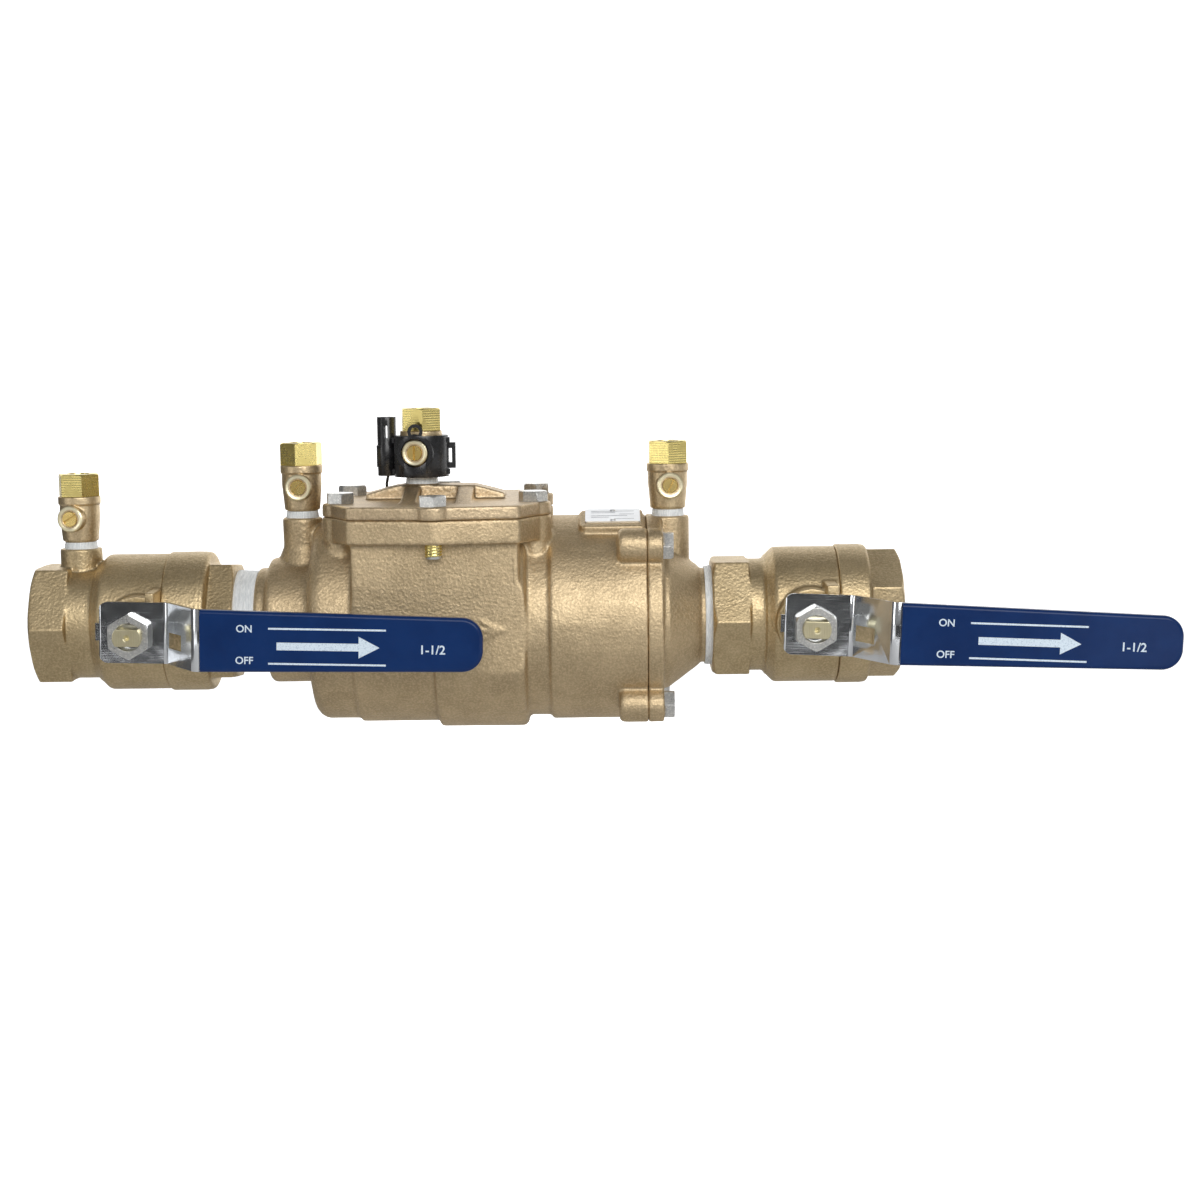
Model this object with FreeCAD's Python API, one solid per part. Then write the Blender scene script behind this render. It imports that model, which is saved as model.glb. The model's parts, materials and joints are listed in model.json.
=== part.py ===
"""Double check valve backflow preventer, 1-1/2 inch, bronze, for an irrigation main.

Millimetres. The origin is the centre of the inlet end face, on the pipe axis.
+X is the direction of flow and +Z is up. The levers and gland screws face -Y.
"""
import FreeCAD, Part
import os
import math

V = FreeCAD.Vector
X_AXIS, Y_AXIS, Z_AXIS = V(1, 0, 0), V(0, 1, 0), V(0, 0, 1)

# ---- fits
RUNNING_FIT = 0.1          # radial gap of a stem in its bore
BALL_FIT = 0.1             # gap between a ball and its seats
DISC_GAP = 0.1             # gap of a closed check disc to its seat

# ---- pipe threads, 1-1/2 inch main and 1/4 inch test connections
PIPE_THREAD_R = 23.6
PIPE_THREAD_LEN = 17.5
COCK_THREAD_R = 6.7
COCK_THREAD_LEN = 9.5
OUTLET_PORT_R = 5.7
OUTLET_PORT_LEN = 9.0

# ---- ball valves
HEX_FLATS = 57.0
HEX_CHAMFER = 1.8
WATERWAY_R = 18.5
BALL_R = WATERWAY_R + 7.5
BALL_CAVITY_R = BALL_R + 1.0
SEAT_BACK = BALL_R - 2.8   # back face of a ball seat, from the pivot
SEAT_FRONT = BALL_R - 7.3
NECK_R = BALL_CAVITY_R + 1.5
SLOT_WIDTH = 6.0           # driving slot across the ball
SLOT_FLOOR = BALL_R - 5.3
SPIGOT_R = BALL_CAVITY_R + 4.0   # body spigot inside the end piece
SPIGOT_REACH = BALL_R - 6.5      # end of that spigot, from the pivot
VALVE_R = SPIGOT_R + 3.5
VALVE_SHOULDER = 4.6       # taper from the neck to the full barrel
COLLAR_R = VALVE_R + 0.9

# ---- valve stem, packing and lever, measured out along -Y from the pipe axis
STEM_R = 8.0
STEM_SHOULDER_R = STEM_R + 1.5
STEM_SHOULDER_IN = BALL_R + 0.5
STEM_SHOULDER_OUT = STEM_SHOULDER_IN + 4.4
STEM_THREAD_R = STEM_R - 1.15
STEM_FLATS = 8.2
BOSS_R = 17.5
BOSS_FACE = STEM_SHOULDER_OUT + 9.1
PACKING_R = STEM_R + 2.2
PACKING_DEEP = 7.0
PACKING_LEN = 4.5
GLAND_NUT_FLATS = 25.0
GLAND_NUT_TOP = BOSS_FACE + 6.5
PLATE_IN = GLAND_NUT_TOP + 5.5
STEM_END = PLATE_IN + 12.0
STEEL = 2.5                # lever plate thickness
LEVER_WIDTH = 30.0
LEVER_RAISE = 1.5          # middle of the plate above the stem
LEVER_SAG = (1.6, 2.6)     # play that lets each lever hang below the pipe line, degrees
PLATE_BACK = 15.4          # from pivot to the back edge of the plate
BEND_START = 18.6
BEND_END = 36.0
TONGUE_IN = PLATE_IN + 23.75
GRIP_START = 38.4
GRIP_END = 173.0
GRIP_TIP_WIDTH = LEVER_WIDTH - 4.2
GRIP_THICK = 5.6
GRIP_CORNER = 10.0
TONGUE_INSET = 3.0         # steel edge inside the vinyl edge
NUT_FLATS = 19.5
NUT_HIGH = 6.0
TAB_LOW, TAB_HIGH = -4.1, 4.4
TAB_IN = GLAND_NUT_TOP - 1.0
LUG_X, LUG_Z = 9.5, 17.0
LUG_SIZE = 6.2
LUG_TOP = PLATE_IN - 3.5
WINDOW_X, WINDOW_Z = 19.4, -7.0
WINDOW_SIZE = 7.8

# ---- main body stations, each a length along X
TAIL_SHOWN = 10.8          # taped male thread between valve and body
HUB_RING_R, HUB_RING_LEN = 26.6, 5.8
HUB_R, HUB_LEN = 31.7, 23.3
CHAMBER_R = 45.0
BARREL_1_R, BARREL_1_LEN = CHAMBER_R + 5.6, 22.5
BELLY_1_R, BELLY_1_LEN = CHAMBER_R + 7.3, 40.0
BELLY_2_R, BELLY_2_LEN = CHAMBER_R + 10.3, 45.0
GROOVE_R, GROOVE_LEN = CHAMBER_R + 4.9, 12.0
BARREL_2_R, BARREL_2_LEN = CHAMBER_R + 6.9, 48.2
MALE_THREAD_R = PIPE_THREAD_R + 0.5
BODY_BORE_R = 20.0
PANEL_Y = CHAMBER_R + 6.0  # flat cheeks of the chamber
PANEL_HALF = CHAMBER_R - 4.0
WEB = 8.5                  # wall that carries each check seat

# ---- top cover joint
COVER_OFFSET = -1.2        # cover centre from the middle of the chamber
OPENING_R = CHAMBER_R - 1.0
SEAL_IN_R = CHAMBER_R + 0.8
SEAL_OUT_R = SEAL_IN_R + 3.0
SEAL_DEEP = 2.0
BOLT_R = 3.9               # hex bolts, 5/16 inch
BOLT_HOLE_R = BOLT_R + 0.4
JOINT_Z = CHAMBER_R + 10.0
BODY_FLANGE = 12.0
COVER_FLANGE = 6.5
BOLT_CIRCLE_R = SEAL_OUT_R + BOLT_R + 2.5
FLANGE_FRONT = BOLT_CIRCLE_R + 6.3
FLANGE_WIDE_X, FLANGE_WIDE_Y = CHAMBER_R - 3.0, PANEL_Y + 4.5
FLANGE_SIDE_X, FLANGE_SIDE_Y = BOLT_CIRCLE_R - 1.2, 30.0
EAR_R = BOLT_R + 5.0
COLUMN_R = BOLT_R + 4.6
COLUMN_FOOT_Z = JOINT_Z - 26.0
RIDGE_TOP = JOINT_Z + 13.6
RIDGE_HALF = 9.0
RIDGE_LEFT, RIDGE_RIGHT = 37.0, 33.0
PLATEAU_LEFT, PLATEAU_RIGHT = 21.6, 18.0
RIDGE_END_Z = RIDGE_TOP - 4.1
RIB_X = 13.5
RIB_WIDTH = 8.0
RIB_REACH = OPENING_R - 1.0

# ---- outlet cover joint
END_FLANGE = 7.8
END_BOLT_Y, END_BOLT_Z = CHAMBER_R - 7.0, CHAMBER_R - 5.4
END_LUG_R = BOLT_R + 4.7
END_LUG_LEN = 14.5
CONE_BASE_R, CONE_TIP_R = CHAMBER_R - 8.0, MALE_THREAD_R + 1.1
CONE_LEN = 16.0
NECK_SHOWN = 6.2

# ---- hex bolts
BOLT_FLATS = 2 * BOLT_R + 4.9
BOLT_HEAD = 5.1
COVER_BOLT_LEN, END_BOLT_LEN = 25.4, 20.0
COVER_BOLT_SPIN = (8, 20, 3, 14, 26, 11)
END_BOLT_SPIN = (30, 24, 33, 28)

# ---- check valves, measured downstream from the seat face
SEAT_RING_R = 27.5
SEAT_BORE_R = SEAT_RING_R - 7.5
SEAT_LIP_R = SEAT_RING_R + 2.5
SEAT_LIP_LEN = 4.0
SEAT_PRESS_LEN = 4.0
DISC_R, DISC_THICK = SEAT_BORE_R + 4.0, 3.0
POPPET_R, POPPET_THICK = DISC_R + 1.0, 5.0
POPPET_NOSE_R = 5.0
GUIDE_R = 4.0
GUIDE_FIT = 0.15
CAGE_R, CAGE_HUB_R = SEAT_LIP_R + 4.0, 14.0
CAGE_BACK = 5.0
CAGE_LEG = 8.0
SPRING_LEN = 24.0
SPRING_MEAN_R, SPRING_WIRE_R = 9.0, 1.1
SPRING_TURNS = 4.5
GUIDE_TAIL = 4.0           # guide rod past the cage when shut

# ---- test cocks, heights above their boss
COCK_NECK_R, COCK_NECK_LEN = 7.3, 3.8
COCK_LOW_R, COCK_HIGH_R = 8.9, 10.0
COCK_SHOULDER = 22.6
COCK_COLLAR_R, COCK_COLLAR_LEN = COCK_HIGH_R + 0.6, 4.0
COCK_STEM_UP = 15.8
COCK_BALL_R, COCK_BORE_R = 5.0, 2.5
COCK_CAVITY_R = COCK_BALL_R + 0.6
COCK_SEAT_LEN = COCK_BALL_R - 2.1
COCK_PLUG_R = 3.7
COCK_GLAND_R, COCK_GLAND_OUT = 6.4, 13.0
ADAPTER_FLATS, ADAPTER_HIGH = 18.8, 11.4
ADAPTER_THREAD_R = COCK_CAVITY_R + 2.0
SCREW_SLOT = 1.3
TAPE_THICK = 0.7
COCK_BOSS_R = (10.4, 10.0, 9.8, 10.7)
COCK_BOSS_TOP = (HEX_FLATS / 2 + 9.5, BARREL_1_R + 1.9, RIDGE_TOP + 0.6, BARREL_2_R - 0.5)
COCK_SLOT_ANGLE = (30.0, 45.0, 90.0, 65.0)
COCK_TURN = (-10.0, -1.5, -11.0, 4.0)    # how far each cock is screwed round from -Y
ADAPTER_SPIN = (20.0, -8.0, 9.0, 2.0)
COCK_1_FROM_NECK = 3.1
COCK_2_FROM_HUB_END = 6.6
COCK_3_FROM_COVER = -9.3
COCK_4_FROM_FLANGE = 3.7

# ---- nameplate, on a pad tilted towards the levers
PLATE_TILT = 15.0
PLATE_LEN, PLATE_WIDE, PLATE_THICK = 27.5, 18.5, 0.8
PAD_MARGIN, PAD_FRONT = 3.0, 5.0
PAD_R = CHAMBER_R + 9.0
PLATE_FROM_JOINT = 16.7
RIVET_R, RIVET_HIGH = 1.5, 0.6
RIVET_INSET = 2.2

# ---- plastic collar with its seal tube, on the third test cock
CLIP_IN_R, CLIP_OUT_R = COCK_HIGH_R + 0.9, COCK_HIGH_R + 3.8
CLIP_LOW, CLIP_HIGH = 3.5, 24.3
CLIP_PORT_R = COCK_GLAND_R + 0.8
CLIP_FACE_R = COCK_GLAND_R + 3.0
BUCKLE_OUT = CLIP_OUT_R + 3.4
TUBE_X, TUBE_Y = -18.2, 8.0
TUBE_R, TUBE_BORE_R = 4.85, 3.2
TUBE_TOP = 33.4
TUBE_BAND_R, TUBE_BAND_LOW, TUBE_BAND_HIGH = 5.4, 8.0, 19.0
EYELET_R, EYELET_BAR = 3.8, 1.6
TETHER_D = 1.5
TETHER_ROUTE = ((-18.0, 11.0, 3.8), (-19.6, 12.4, -1.6), (-18.8, 17.0, -4.7), (-14.4, 20.6, -5.0),
                (-9.8, 19.4, -3.4), (-7.9, 15.3, 0.2), (-7.5, 10.8, 3.5))


# ---- shapes
def outline(corners):
    """Closed wire in the XY plane through (x, y) or (x, y, corner radius)."""
    points = [V(c[0], c[1], 0) for c in corners]
    rounds = [c[2] if len(c) > 2 else 0.0 for c in corners]
    edges, starts, ends = [], [], []
    for i, point in enumerate(points):
        back = (points[i - 1] - point).normalize()
        ahead = (points[(i + 1) % len(points)] - point).normalize()
        half = back.getAngle(ahead) / 2
        reach = rounds[i] / math.tan(half)
        starts.append(point + back * reach)
        ends.append(point + ahead * reach)
        if rounds[i]:
            middle = point + (back + ahead).normalize() * (rounds[i] / math.sin(half) - rounds[i])
            edges.append(Part.Arc(starts[i], middle, ends[i]).toShape())
    for i, end in enumerate(ends):
        start = starts[(i + 1) % len(starts)]
        if end.distanceToPoint(start) > 1e-6:
            edges.append(Part.LineSegment(end, start).toShape())
    return Part.Wire(Part.__sortEdges__(edges))


def slab(corners, low, high):
    """Outline in the XY plane, raised from low to high."""
    plate = Part.Face(outline(corners)).extrude(V(0, 0, high - low))
    plate.translate(V(0, 0, low))
    return plate


def turned(corners):
    """Solid turned about the pipe axis from (x, radius) corners."""
    return Part.Face(outline(corners)).revolve(V(0, 0, 0), X_AXIS, 360)


def turned_up(corners, x=0.0, z=0.0):
    """Solid turned about a vertical axis at x from (radius, height) corners."""
    solid = Part.Face(outline(corners)).revolve(V(0, 0, 0), Y_AXIS, 360)
    solid.rotate(V(0, 0, 0), X_AXIS, 90)
    solid.translate(V(x, 0, z))
    return solid


def rod(radius, start, end):
    return Part.makeCylinder(radius, start.distanceToPoint(end), start, end - start)


def ring(outer, inner, start, end):
    return rod(outer, start, end).cut(rod(inner, start, end))


def box(x0, x1, y0, y1, z0, z1):
    return Part.makeBox(x1 - x0, y1 - y0, z1 - z0, V(x0, y0, z0))


def hex_bar(flats, start, end, corner):
    axis = end - start
    reach = flats / math.sqrt(3)
    points = [start + FreeCAD.Rotation(axis, 60 * k).multVec(corner) * reach for k in range(6)]
    return Part.Face(Part.makePolygon(points + points[:1])).extrude(axis)


def fused(first, *others):
    return first.multiFuse(list(others)).removeSplitter()


def cut(solid, *tools):
    for tool in tools:
        solid = solid.cut(tool)
    return solid


def save(node, *solids):
    shape = solids[0] if len(solids) == 1 else Part.makeCompound(list(solids))
    shape.exportStep("parts/%s.step" % node)


# ---- stations along the pipe axis
class Valve:
    """Stations of one ball valve, from the end face of its body."""

    def __init__(self, name, face, hex_len, neck, pivot, barrel, collar, tail, tail_spin, sag):
        self.name = name
        self.face = face
        self.neck = face + hex_len
        self.shoulder = self.neck + neck
        self.pivot = self.shoulder + pivot
        self.seam = self.shoulder + barrel
        self.collar = self.seam + collar
        self.end = self.collar + tail
        self.tail_spin = tail_spin
        self.sag = sag


INLET = Valve("inlet", 0.0, 18.5, 13.1, BALL_R - 0.9, BALL_R + 9.8, BALL_R - 4.6, 12.8, 84.0,
              LEVER_SAG[0])
TAIL_X = INLET.end - PIPE_THREAD_LEN
HUB_RING_X = INLET.end + TAIL_SHOWN
HUB_X = HUB_RING_X + HUB_RING_LEN
BARREL_1_X = HUB_X + HUB_LEN
CHAMBER_X = BARREL_1_X + BARREL_1_LEN
STEP_X = CHAMBER_X + BELLY_1_LEN
GROOVE_X = STEP_X + BELLY_2_LEN
BARREL_2_X = GROOVE_X + GROOVE_LEN
END_JOINT_X = BARREL_2_X + BARREL_2_LEN
END_FACE_X = END_JOINT_X + END_FLANGE
CONE_X = END_FACE_X + 3.0
CONE_TIP_X = CONE_X + CONE_LEN
OUTLET = Valve("outlet", CONE_TIP_X + NECK_SHOWN, 18.7, 8.2,
               BALL_R - 4.6, BALL_R + 10.3, BALL_R - 10.1, 16.7, 0.0, LEVER_SAG[1])
COVER_X = (CHAMBER_X + GROOVE_X) / 2 + COVER_OFFSET
COVER_TOP = JOINT_Z + COVER_FLANGE
WEB_2_X = GROOVE_X + 3.0
SEAT_X = (BARREL_1_X + WEB + SEAT_LIP_LEN, WEB_2_X + WEB - 2.5 + SEAT_LIP_LEN)
COCK_X = (INLET.neck + COCK_1_FROM_NECK, BARREL_1_X - COCK_2_FROM_HUB_END,
          COVER_X + COCK_3_FROM_COVER, END_FACE_X + COCK_4_FROM_FLANGE)


# ---- ball valve pieces
def hex_end(start, end, corner, chamfer_start, chamfer_end):
    """Wrench hex of a valve, with turned corners at the chosen ends."""
    corner_r = HEX_FLATS / math.sqrt(3) + 0.1
    low = HEX_FLATS / 2 + 0.4
    first = low if chamfer_start else corner_r
    last = low if chamfer_end else corner_r
    blank = turned([(start, 0), (start, first), (start + HEX_CHAMFER, corner_r),
                    (end - HEX_CHAMFER, corner_r), (end, last), (end, 0)])
    return hex_bar(HEX_FLATS, V(start, 0, 0), V(end, 0, 0), corner).common(blank)


def waterway(valve):
    """Everything bored out of a valve along the pipe axis."""
    pivot = valve.pivot
    return fused(rod(PIPE_THREAD_R, V(valve.face, 0, 0), V(valve.face + PIPE_THREAD_LEN, 0, 0)),
                 rod(WATERWAY_R, V(valve.face, 0, 0), V(valve.end, 0, 0)),
                 rod(BALL_CAVITY_R, V(pivot - SEAT_BACK, 0, 0), V(pivot + SEAT_BACK, 0, 0)),
                 rod(PIPE_THREAD_R, V(valve.end - PIPE_THREAD_LEN, 0, 0), V(valve.end, 0, 0)))


def valve_body(valve):
    barrel = turned([(valve.neck - 1, 0), (valve.neck - 1, NECK_R), (valve.shoulder, NECK_R, 2),
                     (valve.shoulder, VALVE_R - VALVE_SHOULDER, 1.2),
                     (valve.shoulder + VALVE_SHOULDER, VALVE_R, 3), (valve.seam, VALVE_R, 0.5),
                     (valve.seam, SPIGOT_R), (valve.pivot + SPIGOT_REACH, SPIGOT_R),
                     (valve.pivot + SPIGOT_REACH, 0)])
    boss = rod(BOSS_R, V(valve.pivot, 0, 0), V(valve.pivot, -BOSS_FACE, 0))
    boss = boss.common(box(valve.shoulder, valve.seam, -BOSS_FACE, 0, -BOSS_R, BOSS_R))
    lug_x, lug_z, half = valve.pivot + LUG_X, LUG_Z, LUG_SIZE / 2
    lug = box(lug_x - half, lug_x + half, -LUG_TOP, -BALL_CAVITY_R, lug_z - half, lug_z + half)
    lug = lug.common(box(valve.shoulder, valve.seam, -LUG_TOP, 0, 0, VALVE_R))
    body = fused(hex_end(valve.face, valve.neck, Y_AXIS, True, False), barrel, boss, lug)
    if valve is INLET:
        body = fused(body, cock_boss(0, 0.0))
        body = cut(body, cock_drilling(0, 0.0))
    side = V(valve.pivot, -STEM_SHOULDER_OUT - 0.1, 0)
    mouth = V(valve.pivot, -BOSS_FACE, 0)
    return cut(body, waterway(valve),
               rod(STEM_SHOULDER_R + RUNNING_FIT, V(valve.pivot, 0, 0), side),
               rod(STEM_R + RUNNING_FIT, side, mouth),
               rod(PACKING_R, mouth + V(0, PACKING_DEEP, 0), mouth))


def valve_end(valve):
    groove = valve.collar - 5.4
    collar = turned([(valve.seam, 0), (valve.seam, COLLAR_R, 0.5), (groove, COLLAR_R),
                     (groove, COLLAR_R - 0.5), (groove + 0.7, COLLAR_R - 0.5),
                     (groove + 0.7, COLLAR_R), (groove + 1.9, COLLAR_R),
                     (groove + 1.9, COLLAR_R - 0.5), (groove + 2.6, COLLAR_R - 0.5),
                     (groove + 2.6, COLLAR_R - 0.2), (valve.collar, COLLAR_R - 0.2, 2.2),
                     (valve.collar, 0)])
    corner = FreeCAD.Rotation(X_AXIS, valve.tail_spin).multVec(Z_AXIS)
    solid = fused(collar, hex_end(valve.collar - 1, valve.end, corner, False, True))
    spigot = rod(SPIGOT_R, V(valve.seam, 0, 0), V(valve.pivot + SPIGOT_REACH, 0, 0))
    return cut(solid, waterway(valve), spigot)


def valve_seats(valve):
    """Two PTFE rings, hollowed to the ball."""
    sphere = Part.makeSphere(BALL_R + BALL_FIT, V(valve.pivot, 0, 0))
    seats = []
    for side in (-1, 1):
        back = V(valve.pivot + side * SEAT_BACK, 0, 0)
        front = V(valve.pivot + side * SEAT_FRONT, 0, 0)
        seats.append(ring(BALL_CAVITY_R, WATERWAY_R + 0.3, back, front).cut(sphere))
    return seats


def valve_ball(valve):
    ball = Part.makeSphere(BALL_R, V(valve.pivot, 0, 0))
    bore = rod(WATERWAY_R, V(valve.pivot - BALL_R, 0, 0), V(valve.pivot + BALL_R, 0, 0))
    half = SLOT_WIDTH / 2
    slot = box(valve.pivot - half, valve.pivot + half, -BALL_R, -SLOT_FLOOR, -BALL_R, BALL_R)
    return cut(ball, bore, slot)


def valve_stem(valve):
    x = valve.pivot
    half = SLOT_WIDTH / 2 - RUNNING_FIT
    tang = box(x - half, x + half, -STEM_SHOULDER_IN - 1, -SLOT_FLOOR - 0.3, -7, 7)
    shoulder = rod(STEM_SHOULDER_R, V(x, -STEM_SHOULDER_IN, 0), V(x, -STEM_SHOULDER_OUT, 0))
    shaft = rod(STEM_R, V(x, -STEM_SHOULDER_OUT, 0), V(x, -PLATE_IN, 0))
    stem = fused(tang, shoulder, shaft, stem_tip(valve))
    return cut(stem, Part.makeCone(0.0, 1.6, 1.6, V(x, -STEM_END + 1.6, 0), -Y_AXIS))


def hung(shape, valve):
    """Turn a piece of the lever about its stem by the play in it."""
    hanging = shape.copy()
    hanging.rotate(V(valve.pivot, 0, 0), Y_AXIS, valve.sag)
    return hanging


def stem_tip(valve):
    """Threaded stem end with two flats, which also shapes the hole in the lever."""
    x = valve.pivot
    tip = rod(STEM_THREAD_R, V(x, -PLATE_IN, 0), V(x, -STEM_END, 0))
    flats = box(x - 10, x + 10, -STEM_END, -PLATE_IN, -STEM_FLATS / 2, STEM_FLATS / 2)
    return hung(tip.common(flats), valve)


def valve_packing(valve):
    low = V(valve.pivot, -BOSS_FACE + PACKING_DEEP, 0)
    return ring(PACKING_R, STEM_R + RUNNING_FIT, low, low - V(0, PACKING_LEN, 0))


def gland_nut(valve):
    x = valve.pivot
    face, top = V(x, -BOSS_FACE, 0), V(x, -GLAND_NUT_TOP, 0)
    hexagon = hex_bar(GLAND_NUT_FLATS, face, top, Z_AXIS)
    screw = rod(PACKING_R, V(x, -BOSS_FACE + PACKING_DEEP - PACKING_LEN, 0), face)
    return cut(fused(hexagon, screw), rod(STEM_R + RUNNING_FIT, V(x, -20, 0), top))


def lever(valve):
    """Bent steel plate: a flat plate on the stem, a rise and a tongue in the grip."""
    x = valve.pivot
    tongue_end = GRIP_END - TONGUE_INSET
    rise = V(BEND_END - BEND_START, TONGUE_IN - PLATE_IN, 0)
    shift = STEEL * (rise.Length - rise.y) / rise.x
    side = slab([(-PLATE_BACK, -PLATE_IN), (-PLATE_BACK, -PLATE_IN - STEEL, 1.2),
                 (BEND_START - shift, -PLATE_IN - STEEL, 2.5),
                 (BEND_END - shift, -TONGUE_IN - STEEL, 5), (tongue_end, -TONGUE_IN - STEEL),
                 (tongue_end, -TONGUE_IN), (BEND_END, -TONGUE_IN, 2.5),
                 (BEND_START, -PLATE_IN, 5)], -LEVER_WIDTH / 2, LEVER_WIDTH / 2)
    half, tip = LEVER_WIDTH / 2, GRIP_TIP_WIDTH / 2 - TONGUE_INSET
    root = half - TONGUE_INSET
    front = slab([(-PLATE_BACK, -half, 4.5), (GRIP_START, -half), (GRIP_START, -root),
                  (tongue_end, -tip, 3), (tongue_end, tip, 3), (GRIP_START, root),
                  (GRIP_START, half), (-PLATE_BACK, half, 4.5)], 0, STEM_END + GRIP_THICK + 20)
    front.rotate(V(0, 0, 0), X_AXIS, 90)
    stop_shut = box(-PLATE_BACK - 1.6, -PLATE_BACK + 0.9, -PLATE_IN - STEEL + 0.3, -TAB_IN,
                    TAB_LOW, TAB_HIGH)
    window = box(WINDOW_X, WINDOW_X + WINDOW_SIZE, -TONGUE_IN - 5, -PLATE_IN + 5,
                 WINDOW_Z, WINDOW_Z + WINDOW_SIZE)
    stop_open = box(WINDOW_X - STEEL, WINDOW_X, -PLATE_IN - STEEL / 2, -TAB_IN,
                    WINDOW_Z + 0.4, WINDOW_Z + WINDOW_SIZE - 0.4)
    plate = fused(cut(side.common(front), window), stop_shut, stop_open)
    plate.translate(V(x, 0, LEVER_RAISE))
    return hung(plate, valve).cut(stem_tip(valve))


def grip(valve):
    """Vinyl sleeve dipped over the lever's tongue."""
    low = TONGUE_IN + STEEL / 2 - GRIP_THICK / 2
    half, tip = LEVER_WIDTH / 2, GRIP_TIP_WIDTH / 2
    sleeve = slab([(GRIP_START, -half), (GRIP_END, -tip, GRIP_CORNER), (GRIP_END, tip, GRIP_CORNER),
                   (GRIP_START, half)], low, low + GRIP_THICK)
    rim = [e for e in sleeve.Edges if e.BoundBox.XMax > GRIP_START + 1
           and (e.BoundBox.ZMax < low + 0.01 or e.BoundBox.ZMin > low + GRIP_THICK - 0.01)]
    sleeve = sleeve.makeFillet(1.9, rim)
    sleeve.rotate(V(0, 0, 0), X_AXIS, 90)
    sleeve.translate(V(valve.pivot, 0, LEVER_RAISE))
    return hung(sleeve, valve).cut(lever(valve))


def handle_nut(valve):
    base = V(valve.pivot, -PLATE_IN - STEEL, 0)
    top = base - V(0, NUT_HIGH, 0)
    corner_r = NUT_FLATS / math.sqrt(3)
    chamfer = Part.makeCone(corner_r + 2.2, corner_r - 0.9, NUT_HIGH, base, -Y_AXIS)
    nut = hex_bar(NUT_FLATS, base, top, Z_AXIS).common(chamfer)
    return nut.cut(rod(STEM_THREAD_R, base, top))


# ---- test cocks
def cock_boss(index, root_z):
    """Upright boss that a test cock screws into."""
    radius, top = COCK_BOSS_R[index], COCK_BOSS_TOP[index]
    return turned_up([(0, root_z), (radius, root_z), (radius, top, 0.6), (0, top)], COCK_X[index])


def cock_drilling(index, floor_z):
    x, top = COCK_X[index], COCK_BOSS_TOP[index]
    return fused(rod(COCK_THREAD_R, V(x, 0, top - COCK_THREAD_LEN), V(x, 0, top)),
                 rod(COCK_BORE_R, V(x, 0, floor_z), V(x, 0, top)),
                 rod(COCK_BOSS_R[index], V(x, 0, top), V(x, 0, top + 3)))


def cock_centre(index):
    return V(COCK_X[index], 0, COCK_BOSS_TOP[index] + COCK_STEM_UP)


def cock_body(index):
    x, base = COCK_X[index], COCK_BOSS_TOP[index]
    top = COCK_SHOULDER + COCK_COLLAR_LEN
    shell = turned_up([(0, -COCK_THREAD_LEN), (COCK_THREAD_R, -COCK_THREAD_LEN), (COCK_THREAD_R, 0),
                       (COCK_NECK_R, 0), (COCK_NECK_R, COCK_NECK_LEN), (COCK_LOW_R, COCK_NECK_LEN, 0.8),
                       (COCK_HIGH_R, COCK_SHOULDER - 6, 2), (COCK_HIGH_R, COCK_SHOULDER),
                       (COCK_COLLAR_R, COCK_SHOULDER, 0.4), (COCK_COLLAR_R, top, 0.4), (0, top)], x, base)
    centre = cock_centre(index)
    gland = rod(COCK_GLAND_R, centre, centre - V(0, COCK_GLAND_OUT, 0))
    low = base + COCK_STEM_UP - COCK_BALL_R - 1.5
    high = base + COCK_STEM_UP + COCK_BALL_R + 1.5
    body = cut(fused(shell, gland),
               rod(COCK_BORE_R, V(x, 0, base - COCK_THREAD_LEN), V(x, 0, low)),
               rod(COCK_CAVITY_R, V(x, 0, low), V(x, 0, high)),
               rod(ADAPTER_THREAD_R, V(x, 0, high), V(x, 0, base + top)),
               rod(COCK_PLUG_R + RUNNING_FIT, centre, centre - V(0, COCK_GLAND_OUT, 0)))
    return faced(body, index)


def cock_adapter(index):
    """Brass hex adapter with the female test connection in its top."""
    x, base = COCK_X[index], COCK_BOSS_TOP[index]
    foot = base + COCK_STEM_UP + COCK_BALL_R + 1.5
    seat = base + COCK_SHOULDER + COCK_COLLAR_LEN
    top = seat + ADAPTER_HIGH
    spin = FreeCAD.Rotation(Z_AXIS, ADAPTER_SPIN[index]).multVec(Y_AXIS)
    reach = ADAPTER_FLATS / math.sqrt(3)
    blank = turned_up([(0, 0), (reach, 0), (reach, ADAPTER_HIGH - 0.8),
                       (reach - 1.3, ADAPTER_HIGH), (0, ADAPTER_HIGH)], x, seat)
    hexagon = hex_bar(ADAPTER_FLATS, V(x, 0, seat), V(x, 0, top), spin).common(blank)
    return cut(fused(hexagon, rod(ADAPTER_THREAD_R, V(x, 0, foot), V(x, 0, seat))),
               rod(OUTLET_PORT_R, V(x, 0, top - OUTLET_PORT_LEN), V(x, 0, top)),
               rod(COCK_BORE_R, V(x, 0, foot), V(x, 0, top)))


def cock_seats(index):
    centre = cock_centre(index)
    sphere = Part.makeSphere(COCK_BALL_R + BALL_FIT, centre)
    seats = []
    for side in (-1, 1):
        back = centre + V(0, 0, side * (COCK_BALL_R + 1.5))
        front = centre + V(0, 0, side * (COCK_BALL_R + 1.5 - COCK_SEAT_LEN))
        seats.append(ring(COCK_CAVITY_R, COCK_BORE_R + 0.2, back, front).cut(sphere))
    return seats


def cock_tape(index):
    """PTFE tape wound on the cock's neck, above its boss."""
    x, base = COCK_X[index], COCK_BOSS_TOP[index]
    neck = ring(COCK_NECK_R + TAPE_THICK, COCK_NECK_R, V(x, 0, base), V(x, 0, base + COCK_NECK_LEN - 0.4))
    return neck


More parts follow.
